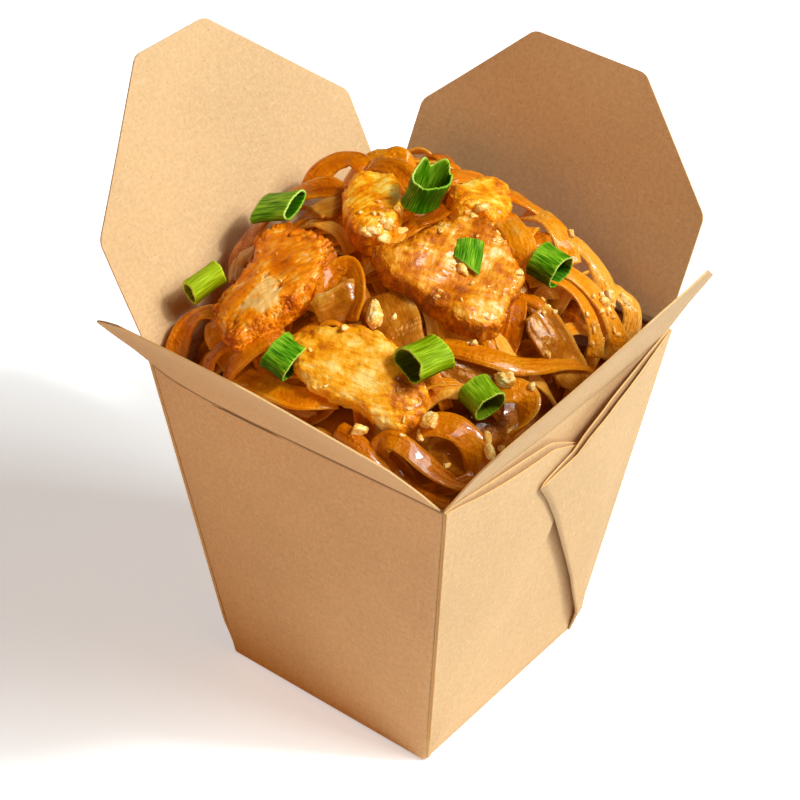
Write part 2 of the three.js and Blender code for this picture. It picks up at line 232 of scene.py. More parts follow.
def makeKraftFibre():
    # pulp fibres, dark flecks and a slow change of tone
    group, given, out = newGroup(
        "kraft fibre",
        [("Vector", "NodeSocketVector", None), ("Colour", "NodeSocketColor", (0.6, 0.4, 0.2, 1)),
         ("Fleck", "NodeSocketColor", (0.3, 0.15, 0.05, 1)), ("Pale", "NodeSocketColor", (0.8, 0.6, 0.4, 1)),
         ("Contrast", "NodeSocketFloat", 1.0)],
        [("Colour", "NodeSocketColor"), ("Roughness", "NodeSocketFloat"), ("Height", "NodeSocketFloat")],
    )
    slow = noiseOf(group, given["Vector"], 22.0, 3.0)
    grain = noiseOf(group, given["Vector"], 900.0, 4.0, 0.7)
    strands = []
    for turn, scale in (
        ((0.3, 0.2, 0.5), (260, 1900, 1500)),
        ((1.1, 0.7, 2.0), (1700, 240, 1500)),
        ((0.5, 1.9, 0.9), (1600, 1500, 230)),
    ):
        strands.append(noiseOf(group, stretched(group, given["Vector"], scale, turn), 1.0, 2.0, 0.6))
    fibres = maths(group, "MAXIMUM", maths(group, "MAXIMUM", strands[0], strands[1]), strands[2])
    fibreMask = ramp(group, fibres, [(0.58, 0.0), (0.74, 1.0)])
    speck = addNode(group, "ShaderNodeTexVoronoi", {"Vector": given["Vector"], "Scale": 900.0})
    speckMask = ramp(group, speck.outputs["Distance"], [(0.10, 1.0), (0.22, 0.0)])
    rare = ramp(group, noiseOf(group, given["Vector"], 420.0, 2.0), [(0.44, 0.0), (0.6, 1.0)])
    speckMask = maths(group, "MULTIPLY", speckMask, rare)
    shade = swing(group, slow, 0.28, 1.0)
    shade = swing(group, grain, maths(group, "MULTIPLY", given["Contrast"], 0.42), shade)
    base = blendColour(group, 1.0, given["Colour"], shade, "MULTIPLY")
    paleShare = maths(group, "MULTIPLY", fibreMask, maths(group, "MULTIPLY", given["Contrast"], 0.30))
    base = blendColour(group, paleShare, base, given["Pale"])
    fleckShare = maths(group, "MULTIPLY", speckMask, maths(group, "MULTIPLY", given["Contrast"], 0.34))
    base = blendColour(group, fleckShare, base, given["Fleck"])
    roughness = maths(group, "MULTIPLY_ADD", grain, 0.2, 0.68)
    height = maths(group, "MULTIPLY_ADD", fibreMask, 0.5, grain)
    for label, made in (("Colour", base), ("Roughness", roughness), ("Height", height)):
        group.links.new(made, out[label])
    return group


def makeSauceAndShadeFilm():
    # brown sauce in patches, and the same brown laid on by Depth, which on the noodles is painted shade in the low
    # places under other noodles
    group, given, out = newGroup(
        "sauce and shade film",
        [("Vector", "NodeSocketVector", None), ("Food", "NodeSocketColor", (0.8, 0.5, 0.2, 1)),
         ("Sauce", "NodeSocketColor", (0.3, 0.08, 0.01, 1)), ("Depth", "NodeSocketFloat", 0.0),
         ("Patches", "NodeSocketFloat", 0.3), ("Scale", "NodeSocketFloat", 90.0)],
        [("Colour", "NodeSocketColor")],
    )
    patches = noiseOf(group, given["Vector"], given["Scale"], 4.0, 0.6)
    mask = ramp(group, patches, [(0.46, 0.0), (0.72, 1.0)])
    mask = maths(group, "MULTIPLY", mask, given["Patches"])
    mask = maths(group, "ADD", mask, given["Depth"], clamp=True)
    group.links.new(blendColour(group, mask, given["Food"], given["Sauce"]), out["Colour"])
    return group


def makeOilBeads():
    # small beads and bubbles of oil that glint, thick in places and few in others
    group, given, out = newGroup(
        "oil beads",
        [("Vector", "NodeSocketVector", None), ("Scale", "NodeSocketFloat", 950.0),
         ("Amount", "NodeSocketFloat", 0.5)],
        [("Height", "NodeSocketFloat")],
    )
    inputs = {"Vector": given["Vector"], "Scale": given["Scale"]}
    cells = addNode(group, "ShaderNodeTexVoronoi", inputs, feature="SMOOTH_F1")
    beads = ramp(group, cells.outputs["Distance"], [(0.05, 1.0), (0.45, 0.0)])
    places = noiseOf(group, given["Vector"], 170.0, 3.0, 0.6)
    where = swing(group, given["Amount"], 0.5, places)
    mask = ramp(group, where, [(0.45, 0.08), (0.62, 1.0)])
    fineFilm = noiseOf(group, given["Vector"], 700.0, 3.0, 0.6)
    height = maths(group, "MULTIPLY_ADD", maths(group, "MULTIPLY", beads, mask), 0.8, fineFilm)
    group.links.new(height, out["Height"])
    return group


kraftFibre = makeKraftFibre()
sauceAndShadeFilm = makeSauceAndShadeFilm()
oilBeads = makeOilBeads()


def sauceAndShaded(tree, place, food, sauce, depth, patches, scale):
    inputs = {"Vector": place, "Food": food, "Sauce": tone(sauce), "Depth": depth, "Patches": patches, "Scale": scale}
    return useGroup(tree, sauceAndShadeFilm, inputs)["Colour"]


# the pail: its widths at the base and at the rim, its height and the card
pailSize = {
    "baseX": 68.3, "baseY": 69.4, "rimX": 94.6, "rimY": 99.5, "height": 105.0, "card": 0.45,
    "cornerRound": 0.9, "footRound": 0.5, "flapRound": 1.6, "belly": 0.9,
}
rimHeight = pailSize["height"]
# how far the rim crease dips along each wall: (place along the wall, height), corners first and last
creases = {
    0: [(-49.7, 104.7), (-35.4, 104.2), (-23.6, 103.6), (-13.2, 102.9), (-6, 102.4), (8.6, 102.6), (20, 102.2),
        (34.2, 103.1), (47.0, 103.7), (49.7, 104.8)],
    90: [(-47.3, 104.8), (-25, 103.6), (0, 103.1), (25, 103.5), (47.3, 104.8)],
    180: [(-49.7, 104.8), (-30, 103.2), (-5, 102.6), (20, 103.0), (49.7, 104.8)],
    270: [(-47.3, 104.8), (-40, 102.6), (-28, 101.8), (-12, 102.2), (5, 103.1), (22, 104.0), (38, 104.7),
          (47.3, 104.9)],
}


def halfOut(turn, z):
    # how far out the wall that faces a turn is, at a height
    axis = "Y" if turn % 180 > 0 else "X"
    return mix(pailSize["base" + axis], pailSize["rim" + axis], z / rimHeight) / 2


def bellyAt(share, z):
    # the walls aren't quite flat: they belly out a little with the food behind them
    return pailSize["belly"] * max(0.0, 1 - share ** 2) * math.sin(math.pi * min(1, z / rimHeight))


def turned(turn, out, side, up):
    c, s = math.cos(math.radians(turn)), math.sin(math.radians(turn))
    return Vector((out * c - side * s, out * s + side * c, up))


def wallOf(point):
    # which wall a point of the pail is on, and how far along that wall
    nearest = max((0, 90, 180, 270), key=lambda turn: turned(-turn, point.x, point.y, 0).x / halfOut(turn, point.z))
    return nearest, turned(-nearest, point.x, point.y, 0).y


def makeKraftMaterial(name, face, fleck, pale, contrast=1.0):
    material, tree, shader = newMaterial(name)
    tones = {"Colour": tone(face), "Fleck": tone(fleck), "Pale": tone(pale)}
    looks = useGroup(tree, kraftFibre, {"Vector": objectPlace(tree), "Contrast": contrast, **tones})
    # painted shade: the card is darkened towards #5E3414 along its creases and folds, where the fold lies in shadow
    creaseShadeShare = maths(tree, "MULTIPLY", attribute(tree, "crease"), 0.75)
    creaseShaded = blendColour(tree, creaseShadeShare, looks["Colour"], tone("#5E3414"))
    feed(tree, shader, {"Base Color": creaseShaded, "Roughness": looks["Roughness"], "Specular IOR Level": 0.28})
    bump(tree, shader, looks["Height"], 0.25, 0.06)
    return material


kraftFace = makeKraftMaterial("kraftFace", "#D9AD7C", "#8A5A30", "#EBCB9E", 1.3)
kraftEdge = makeKraftMaterial("kraftEdge", "#DDB074", "#A87438", "#F0D0A0", 0.7)


def cutPlanes(bm, axis, places):
    # cuts the mesh across one axis at each place
    normal = Vector((0, 0, 0))
    normal[axis] = 1
    for place in places:
        geom = bm.verts[:] + bm.edges[:] + bm.faces[:]
        bmesh.ops.bisect_plane(bm, geom=geom, dist=1e-4, plane_co=normal * float(place), plane_no=normal)


def roundOff(bm, geom, offset, segments, affect="EDGES"):
    shape = {"offset": offset, "offset_type": "OFFSET", "segments": segments, "profile": 0.5}
    bmesh.ops.bevel(bm, geom=geom, affect=affect, material=-1, **shape)


def buildPail():
    bm = bmesh.new()
    bmesh.ops.create_cube(bm, size=2)
    for vert in bm.verts:
        z = rimHeight if vert.co.z > 0 else 0
        vert.co = (vert.co.x * halfOut(0, z), vert.co.y * halfOut(90, z), z)
    lid = [face for face in bm.faces if face.calc_center_median().z > 100]
    bmesh.ops.delete(bm, geom=lid, context="FACES_ONLY")
    corners = [edge for edge in bm.edges if abs(edge.verts[0].co.z - edge.verts[1].co.z) > 50]
    roundOff(bm, corners, pailSize["cornerRound"], 4)
    foot = [edge for edge in bm.edges if all(vert.co.z < 0.01 for vert in edge.verts)]
    roundOff(bm, foot, pailSize["footRound"], 2)
    cutPlanes(bm, 0, np.linspace(-46, 46, 24))
    cutPlanes(bm, 1, np.linspace(-48, 48, 24))
    cutPlanes(bm, 2, [4, 12, 26, 42, 58, 72, 82, 88, 93, 97, 100, 102, 103.4, 104.0, 104.3, 104.6, 104.8])
    crease = bm.verts.layers.float.new("crease")
    for vert in bm.verts:
        turn, side = wallOf(vert.co)
        z = vert.co.z
        rimZ = along(creases[turn], side) - 0.25
        # painted shade: a dark band along the top of each wall under the rim crease, strong on the front and back
        # walls and faint on the sides
        vert[crease] = smooth(103.9, 104.7, z) * (0.9 if turn % 180 else 0.2)
        lowered = z - (rimHeight - rimZ) * smooth(86, rimHeight, z) ** 1.5
        share = side / halfOut(turn + 90, z)
        belly = bellyAt(share, z) * smooth(0, 20, z)
        belly += 0.35 * noise.noise(Vector((side * 0.03, z * 0.03, turn * 0.1))) * max(0.0, 1 - share ** 2)
        out = turned(-turn, vert.co.x, vert.co.y, 0).x
        shift = (halfOut(turn, lowered) - halfOut(turn, z)) + (belly if z > 1 else 0)
        vert.co = turned(turn, out + shift, side, lowered)
    bmesh.ops.recalc_face_normals(bm, faces=bm.faces)
    pail = finish("pailWalls", bm, [kraftFace, kraftEdge], stands=["box_body"])
    thicken(pail, pailSize["card"], -1)
    applyModifiers(pail)


# the corner webs, two sheets of card each, from the corner of the pail to their fold. top is the upper edge of the
# outer
# sheet as (place along the wall, height), fold is the folded edge from the base up, stand is how far they stand off
webs = {
    "Under": {
        "side": -1,
        "top": [(-49.4, 104.4), (-43, 103.2), (-36.8, 101.6), (-28.9, 100.3), (-14.7, 98.6), (-4.8, 97.4),
            (0.5, 94.6), (8.2, 90.5), (10.0, 88.5)],
        "fold": [(-33.2, 0.6), (-32, 5.6), (-21.5, 21), (-10.8, 37.1), (-4.4, 47.3), (2.7, 61.4), (4.9, 67.5),
            (7.2, 76), (10, 88.5)],
        "stand": 0.55, "bulge": 0.7, "innerLift": 1.9, "gap": 0.45,
    },
    "Over": {
        "side": 1,
        "top": [(49.4, 104.4), (42, 102.8), (34, 101.4), (27, 100.4), (20.3, 99.4), (14.9, 97.3), (8.7, 94.9),
            (3.5, 91.4), (-3.7, 89.9), (-9.5, 88.2)],
        "fold": [(33.0, 0.6), (33.0, 4), (32.3, 7.7), (29.1, 15), (25.6, 22.3), (21.2, 32.3), (16.2, 42.4),
            (11, 52.6), (7.4, 59.7), (2.9, 68.6), (-3.2, 79), (-9.5, 88.2)],
        "stand": 1.6, "bulge": 2.0, "innerLift": 0.7, "gap": 0.7,
    },
}


def polyline(points, share):
    # a place on a line of points, by its share of the length
    line = np.array(points, float)
    steps = np.concatenate([[0], np.cumsum(np.hypot(*np.diff(line, axis=0).T))])
    return np.array([np.interp(share * steps[-1], steps, line[:, axis]) for axis in (0, 1)])


def buildWeb(name, turn, web):
    bm = bmesh.new()
    bmesh.ops.create_grid(bm, x_segments=44, y_segments=36, size=1)
    crease = bm.verts.layers.float.new("crease")
    foldTop = np.array(web["fold"][-1], float)
    cornerTop = np.array(web["top"][0], float)
    for vert in bm.verts:
        u, b = vert.co.x, (vert.co.y + 1) / 2
        outer = u > 0
        a = 1 - abs(u) ** 1.5  # 0 at the corner of the pail and 1 at the fold
        b = b ** 0.8
        cornerZ = mix(0.8, cornerTop[1], b)
        settled = smooth(0, 0.12, b)  # the foot of the web lies flat on the wall
        corner = np.array([web["side"] * (halfOut(turn + 90, cornerZ) - 0.3 - 0.7 * (1 - settled)), cornerZ])
        fold = polyline(web["fold"], b)
        flat = corner * (1 - a) + fold * a
        straight = cornerTop * (1 - a) + foldTop * a
        flat = flat + (polyline(web["top"], a) - straight) * b ** 7
        lift = 0.0 if outer else web["innerLift"] * math.sin(math.pi * min(1, a * 1.02)) ** 0.7 * b ** 7
        opening = web["gap"] * math.sin(math.pi * min(1.0, a)) * b ** 5
        apart = (0.30 + opening) * math.sqrt(max(0.0, 1 - max(0.0, (a - 0.97) / 0.03) ** 2))
        stand = 0.35 + web["stand"] * smooth(0.05, 0.6, a) + web["bulge"] * math.sin(2.5 * a) * b ** 4
        stand += apart if outer else -apart * 0.75
        stand *= 0.15 + 0.85 * settled
        belly = bellyAt(flat[0] / halfOut(turn + 90, flat[1]), flat[1])
        vert.co = turned(turn, halfOut(turn, flat[1]) + belly + 0.25 * settled + stand, flat[0], flat[1] + lift)
        # painted shade: a faint dark line along the folded edge of each web
        vert[crease] = 0.3 * smooth(0.975, 1.0, a)
    bmesh.ops.recalc_face_normals(bm, faces=bm.faces)
    piece = finish(name, bm, [kraftFace, kraftEdge])
    thicken(piece, pailSize["card"], 0)
    applyModifiers(piece)


# the four flaps: lean, curl with height and twist in degrees, the widths and heights of their tips and top edge
flaps = {
    "flap_right": {"name": "rightFlapCard", "body": "right_flap", "turn": 0, "tilt": 28.6, "curl": 0.088,
        "twist": -1.8, "tips": (94.4, 26.5), "top": (26.7, 58), "shift": 0},
    "flap_back": {"name": "backFlapCard", "body": "back_flap", "turn": 90, "tilt": 26.1, "curl": 0, "twist": 0,
        "tips": (93.0, 30.5), "top": (35.9, 59.9), "shift": 0.9},
    "flap_left": {"name": "leftFlapCard", "body": "left_flap", "turn": 180, "tilt": 28.4, "curl": 0, "twist": 0,
        "tips": (99.6, 34), "top": (26.6, 71.3), "shift": 2.3},
    "flap_front": {"name": "frontFlapCard", "body": "front_flap", "turn": 270, "tilt": 38.6, "curl": 0.07, "twist": 0,
        "tips": (91.6, 31.8), "top": (35.9, 62.5), "shift": 0},
}


def buildFlap(node, flap):
    turn = flap["turn"]
    half = halfOut(turn + 90, rimHeight) - 0.6
    (tipWidth, tipHeight), (topWidth, topHeight), shift = flap["tips"], flap["top"], flap["shift"]
    # the flat blank: across in x and up the flap in y, with a strip below the crease, inside the wall
    bm = bmesh.new()
    outline = [
        (-half, -1.5), (half, -1.5), (half, 0.3), (tipWidth / 2, tipHeight), (topWidth / 2 + shift, topHeight),
        (-topWidth / 2 + shift, topHeight), (-tipWidth / 2, tipHeight), (-half, 0.3),
    ]
    blank = bm.faces.new([bm.verts.new((x, y, 0)) for x, y in outline])
    roundOff(bm, [vert for vert in blank.verts if vert.co.y > 5], pailSize["flapRound"], 4, "VERTICES")
    cutPlanes(bm, 0, np.linspace(-48, 48, 33))
    # the rows lie close at the crease, where the card bends
    cutPlanes(bm, 1, [-0.9, -0.45, -0.1, 0.2, 0.5, 0.9, 1.5, 2.4, 3.6, 5, 7, 9.5, 12.5, 16, 20, *range(25, 70, 5)])
    bmesh.ops.remove_doubles(bm, verts=bm.verts, dist=0.12)
    crease = bm.verts.layers.float.new("crease")
    hinge = halfOut(turn, rimHeight) - 0.3
    curl = math.radians(flap["curl"]) + 1e-9
    for vert in bm.verts:
        side, v = vert.co.x, vert.co.y
        # painted shade: the flap is dark at its foot, along the rim crease, more on the front and back flaps
        vert[crease] = (1 - smooth(0.15, 1.1, v)) * (1.0 if turn % 180 else 0.35)
        start = math.radians(flap["tilt"] + flap["twist"] * side * 2 / tipWidth)
        end = start + curl * max(0.0, v)
        out = hinge + (math.cos(start) - math.cos(end)) / curl
        up = rimHeight + (math.sin(end) - math.sin(start)) / curl
        wave = 0.5 * noise.noise(Vector((side * 0.022, v * 0.03, turn * 0.3 + 2))) * smooth(0, 20, v)
        out += wave * math.cos(end)
        up -= wave * math.sin(end)
        creaseZ = along(creases[turn], side)
        wallOut = halfOut(turn, creaseZ) + bellyAt(side / half, creaseZ)
        if v < 0.15:
            # the strip below the crease goes in behind the wall
            out, up = wallOut - 0.55 * smooth(0.15, -0.6, v), creaseZ + v
        else:
            hold = 1 - smooth(0, 16, v)
            out += (wallOut - hinge) * hold
            up += (creaseZ - rimHeight) * hold
        vert.co = turned(turn, out, side, up)
    bmesh.ops.recalc_face_normals(bm, faces=bm.faces)
    piece = finish(flap["name"], bm, [kraftFace, kraftEdge], body=None, stands=[node])
    thicken(piece, pailSize["card"], 0)
    applyModifiers(piece)
    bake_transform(piece)


buildPail()
for turn in (0, 180):
    for label, web in webs.items():
        buildWeb(("right" if turn == 0 else "left") + label + "Web", turn, web)
for node, flap in flaps.items():
    buildFlap(node, flap)
print("card done")

# the heap: a lopsided dome that climbs towards the back corner
heap = {
    "edge": 5.2, "slope": (-0.25, 0.33), "rise": 20.5, "power": 2.27, "centre": (1.2, -11.1),
    "half": (53.5, 56.4), "lowest": -9, "cornerFall": 10, "sunk": 3.5,
}


def heapTop(x, y):
    away = (abs(x - heap["centre"][0]) / heap["half"][0], abs(y - heap["centre"][1]) / heap["half"][1])
    fall = away[0] ** heap["power"] + away[1] ** heap["power"]
    corner = abs(4 * x * y / (pailSize["rimX"] * pailSize["rimY"])) ** 5
    rise = heap["edge"] + heap["slope"][0] * x + heap["slope"][1] * y + heap["rise"] * (1 - fall)
    return rimHeight + max(heap["lowest"], rise - heap["cornerFall"] * corner)


def heapNormal(x, y):
    d = 1.5  # the slope is taken over this far each way
    slopeX = (heapTop(x - d, y) - heapTop(x + d, y)) / (2 * d)
    slopeY = (heapTop(x, y - d) - heapTop(x, y + d)) / (2 * d)
    return Vector((slopeX, slopeY, 1)).normalized()


def laid(at, up, heading, lean=(0, 0)):
    # turns a piece made round its own origin so that its x runs along heading and its z along up, then leans it
    ahead = Vector((math.cos(math.radians(heading)), math.sin(math.radians(heading)), 0))
    side = up.cross(ahead).normalized()
    basis = Matrix((side.cross(up), side, up)).transposed().to_4x4()
    leaned = Matrix.Rotation(math.radians(lean[0]), 4, "X") @ Matrix.Rotation(math.radians(lean[1]), 4, "Y")
    return Matrix.Translation(at) @ basis @ leaned


def onHeap(item):
    # how a piece of food lies on the heap, sunk into it a little
    x, y = item["at"]
    at = Vector((x, y, heapTop(x, y) - heap["sunk"] + item["above"]))
    return laid(at, heapNormal(x, y), item["heading"], item["lean"])


# the chicken: where each piece lies, which way its long side heads, its lean, half its thickness, how far it stands
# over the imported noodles, and its outline as the reach in 24 directions from the long side round
chicken = {
    "chicken_right": {"at": (12.5, -1.5), "heading": 28, "lean": (0, 2), "thick": 5.6, "above": 4.5,
        "reach": [15.3, 17.2, 19.5, 20.0, 21.5, 23.5, 22.5, 20.5, 18.5, 17.5, 18.0, 22.3, 17.8, 12.0, 9.7, 8.5, 7.9,
            7.9, 8.4, 10.2, 12.1, 14.3, 15.8, 15.3],
        "looks": "creamy", "seed": 11, "peaks": 1.0, "grain": 0.4, "square": 4.4,
        # paler and browner places: x, y, how wide and by how much
        "marks": [(16.5, 9.5, 4, -0.28), (23.1, -3.4, 4.5, -0.16), (25.9, -2.8, 3, -0.12), (3, -1.1, 2.2, -0.2),
            (9, -0.9, 3, -0.2), (3.8, 2.4, 3, 0.25), (15, -1.5, 4, 0.22), (20.2, 8.8, 2.5, 0.2), (9.7, 15.7, 3, 0.12),
            (5.2, -10.3, 5, 0.12)]},
    "chicken_left": {"at": (-24.5, -27), "heading": 66, "lean": (-4, 4), "thick": 5.4, "above": 4,
        "reach": [18.3, 19.2, 20.0, 21.6, 22.8, 19.0, 13.0, 11.5, 10.8, 10.8, 14.5, 15.8, 16.2, 17.4, 18.0, 13.8,
            11.0, 9.6, 9.2, 9.3, 9.8, 10.9, 12.7, 15.8],
        "looks": "glazed", "seed": 3, "peaks": 0.6, "grain": 0.8, "crumbly": 1.0, "cracks": 1.0, "rimSear": 0.3,
        "marks": [(-22.7, -31.7, 3.2, -0.8), (-25.2, -28.8, 2.8, -0.6), (-24.4, -34.8, 2.2, -0.6),
            (-27.6, -13.2, 5, 0.2), (-30.5, -17.8, 4, 0.15), (-25.6, -43.1, 4, 0.15)]},
    "chicken_front": {"at": (12, -32), "heading": 20, "lean": (4, 3), "thick": 5.0, "above": 4,
        "reach": [13.8, 13.0, 11.9, 11.4, 11.2, 11.6, 12.4, 14.2, 15.8, 17.6, 20.3, 23.6, 20.8, 16.8, 12.0, 9.1, 7.6,
            7.0, 7.6, 8.9, 11.0, 14.6, 15.0, 14.8],
        "looks": "golden", "seed": 7, "peaks": 0.5, "grain": 0.5, "crumbly": 0.3, "cracks": 0.2, "streaks": 1.3,
        "rimSear": 0.5, "square": 4.4,
        # the browner mark at (19.4, -28.5) is painted shadow of spring onion 7 on the piece
        "marks": [(10.6, -35.2, 5, -0.22), (3.9, -30.9, 4, -0.15), (19.1, -36.7, 3.5, -0.12),
            (19.4, -28.5, 4.5, 0.35), (23.6, -35.1, 3.5, 0.3), (5.9, -25.5, 3, 0.25), (-1.4, -37, 3.5, 0.2),
            (26, -30, 3, 0.25)]},
    "chicken_top": {"at": (-15.5, 5), "heading": 74, "lean": (0, 0), "thick": 6, "above": 4,
        "reach": [6.8, 8.7, 11.8, 14.3, 15.4, 16.0, 15.0, 12.8, 11.0, 10.3, 9.6, 9.6, 10.2, 10.6, 11.6, 11.1, 10.1,
            8.9, 6.8, 5.8, 5.4, 5.2, 5.3, 5.8],
        "looks": "mottled", "seed": 19, "peaks": 1.2, "grain": 0.3,
        "marks": [(-17.4, 8.7, 4, -0.2), (-23, 5.4, 3, 0.2), (-18.6, -3.4, 3, 0.2), (-12, -6.1, 3, 0.15)]},
    "chicken_back": {"at": (1, 28), "heading": 18, "lean": (0, 0), "thick": 5, "above": 3.5,
        "reach": [5.8, 6.0, 6.5, 7.6, 8.9, 11.0, 14.6, 15.4, 13.2, 11.6, 11.4, 12.0, 11.4, 10.9, 9.7, 8.9, 6.3, 5.0,
            4.4, 4.2, 4.2, 4.4, 5.0, 5.6],
        "looks": "mottled", "seed": 23, "peaks": 1.0, "grain": 0.3},
}
chickenLooks = {
    "golden": {"tones": ("#FBCE70", "#F8AE32", "#F09A0A", "#D87404", "#984402"), "sear": 0.38, "sauce": "#6E2802",
        "patches": 0.05, "fibres": 20},
    "glazed": {"tones": ("#F0B868", "#F49410", "#E67C02", "#D46802", "#A84402"), "sear": 0.46, "sauce": "#6A2000",
        "patches": 0.08, "fibres": 66},
    "creamy": {"tones": ("#F6D094", "#ECA640", "#E08A10", "#CA6603", "#964402"), "sear": 0.54, "sauce": "#6E2802",
        "patches": 0.06, "fibres": 110},
    "mottled": {"tones": ("#FFDC73", "#FFBA2E", "#F89808", "#D66C02", "#A44A02"), "sear": 0.43, "sauce": "#6E2802",
        "patches": 0.08, "fibres": 74},
}


def reachAt(reach, angle):
    # the outline's reach at an angle, smooth between its directions
    place = (angle / (2 * math.pi)) % 1 * len(reach)
    i = int(place)
    share = place - i
    share = share * share * (3 - 2 * share)
    return mix(reach[i % len(reach)], reach[(i + 1) % len(reach)], share)


def makeChickenMaterial(name, looks):
    material, tree, shader = newMaterial(name)
    place = objectPlace(tree)
    # the glaze lies in soft patches with finer ones in them, over small dark freckles
    patch = noiseOf(tree, place, 190.0, 4.0, 0.58, 0.6)
    mottle = noiseOf(tree, place, 520.0, 3.0, 0.6, 0.4)
    freckle = noiseOf(tree, place, 1500.0, 3.0, 0.65)
    heading = (0, 0, math.radians(looks["fibres"]))
    inputs = {"Vector": place, "Rotation": heading, "Scale": (1 / 150, 1 / 1100, 1 / 500)}
    fibres = addNode(tree, "ShaderNodeMapping", inputs, vector_type="TEXTURE").outputs["Vector"]
    fibre = noiseOf(tree, fibres, 1.0, 3.0, 0.6, 0.6)
    tint = swing(tree, patch, 1.3, attribute(tree, "sear"))
    tint = swing(tree, mottle, 0.45, tint)
    tint = swing(tree, fibre, 0.8, tint)
    tint = swing(tree, freckle, 0.25, tint)
    food = ramp(tree, tint, list(zip((0.08, 0.28, 0.47, 0.70, 1.0), looks["tones"])))
    pits = maths(tree, "MULTIPLY", attribute(tree, "pit"), 0.8)
    film = sauceAndShaded(tree, place, food, looks["sauce"], pits, looks["patches"], 210.0)
    glow(tree, shader, film, 0.12)
    feed(tree, shader, {
        "Roughness": maths(tree, "MULTIPLY_ADD", freckle, 0.3, 0.25),
        "Coat Weight": ramp(tree, noiseOf(tree, place, 300.0, 2.0), [(0.42, 0.05), (0.62, 0.8)]),
        "Coat Roughness": 0.12, "Specular IOR Level": 0.4, "Specular Tint": tone("#FFD8A0"),
    })
    soften(tree, shader, 0.15, (1.0, 0.5, 0.1), 1.0)
    height = maths(tree, "MULTIPLY_ADD", mottle, 1.2, maths(tree, "MULTIPLY_ADD", fibre, 0.9, freckle))
    bump(tree, shader, height, 0.55, 0.38)
    return material


def buildChicken(name, meat, material):
    bm = bmesh.new()
    bmesh.ops.create_icosphere(bm, subdivisions=7, radius=1)
    sear, pitLayer = newLayers(bm, "sear", "pit")
    place = onHeap(meat)
    seed = meat["seed"]
    shift = Vector((seed * 3.1, seed * 1.7, 0))
    looks = chickenLooks[meat["looks"]]
    for vert in bm.verts:
        x, y, z = vert.co
        angle = math.atan2(y, x)
        reach = reachAt(meat["reach"], angle)
        # a broad flat slab with a rounded side: the sides come out fast and the top stays level
        level = min(1.0, math.hypot(x, y))
        share = 1 - (1 - level) ** 1.25
        square = meat.get("square", 3.4)
        thick = meat["thick"] * (0.8 if z < 0 else 1.0)
        height = math.copysign(max(0.0, 1 - share ** square) ** (1 / square), z) * thick
        c, s = math.cos(angle), math.sin(angle)
        ragged = noise.fractal(Vector((c * 2.6, s * 2.6, seed * 2.0 + z * 0.4)), 0.7, 2.2, 5)
        flat = Vector((reach * share * c, reach * share * s, 0)) * (1 + 0.035 * ragged * level)
        spot = flat + shift
        hump = noise.fractal(Vector((spot.x * 0.07, spot.y * 0.09, seed)), 1.0, 2.0, 2)
        # fibres run along the piece, wander and split
        wander = 2.2 * noise.noise(Vector((spot.x * 0.06, spot.y * 0.10, seed + 5)))
        strand = noise.noise(Vector((spot.x * 0.09, spot.y * 0.62 + wander, z * 1.5 + seed)))
        fineStrand = noise.noise(Vector((spot.x * 0.26, spot.y * 1.7 + wander * 2, z * 2 + seed)))
        # cracks open along the fibres, and ends are crumbly
        broken = smooth(0.12, 0.4, noise.noise(Vector((spot.x * 0.13, spot.y * 0.13, seed * 3))))
        crack = max(0.0, 1 - abs(strand + 0.12 * fineStrand) * 11) * broken
        crumbly = smooth(0.62, 0.95, level) * meat.get("crumbly", 0.4) + 0.15
        rough = noise.fractal(Vector((spot.x * 0.42, spot.y * 0.42, height * 0.42 + seed)), 0.8, 2.1, 4)
        rise = 1.5 * hump * meat["peaks"] + meat["grain"] * (0.45 * strand + 0.20 * fineStrand)
        rise += rough * 0.9 * crumbly - 0.9 * crack * meat.get("cracks", 0.5)
        height += rise * (1.0 if z > 0 else 0.35)
        flat *= 1 + 0.05 * rough * crumbly
        vert.co = place @ Vector((flat.x, flat.y, height))
        patch = noise.fractal(Vector((spot.x * 0.12, spot.y * 0.17, seed * 5.0)), 0.9, 2.0, 3)
        streak = noise.fractal(Vector((spot.x * 0.16, spot.y * 0.55 + wander, seed * 7.0)), 0.8, 2.2, 3)
        side = smooth(0.80, 0.97, level)
        tint = looks["sear"] + 0.30 * patch + 0.16 * streak * meat.get("streaks", 1.0)
        tint += 0.22 * side * meat.get("rimSear", 1.0) + 0.30 * rough * crumbly + 0.10 * strand
        for markX, markY, wide, change in meat.get("marks", ()):
            away = ((vert.co.x - markX) ** 2 + (vert.co.y - markY) ** 2) / wide ** 2
            if away < 4:
                tint += change * math.exp(-away) * (1 + 0.8 * noise.noise(spot * 0.6))
        vert[sear] = min(1.0, max(0.0, tint))
        pit = max(0.0, noise.noise(Vector((spot.x * 0.5, spot.y * 0.5, seed * 9.0))) - 0.50) * 4
        vert[pitLayer] = min(1.0, crack * 0.8 * meat.get("cracks", 0.5) + pit * 0.6 * (1 if z > 0 else 0))
    bmesh.ops.recalc_face_normals(bm, faces=bm.faces)
    finish(camel(name, "Meat"), bm, [material], stands=[name])


chickenMaterials = {}
for key, looks in chickenLooks.items():
    chickenMaterials[key] = makeChickenMaterial("chicken" + key.capitalize(), looks)
for name, meat in chicken.items():
    buildChicken(name, meat, chickenMaterials[meat["looks"]])
print("chicken done")

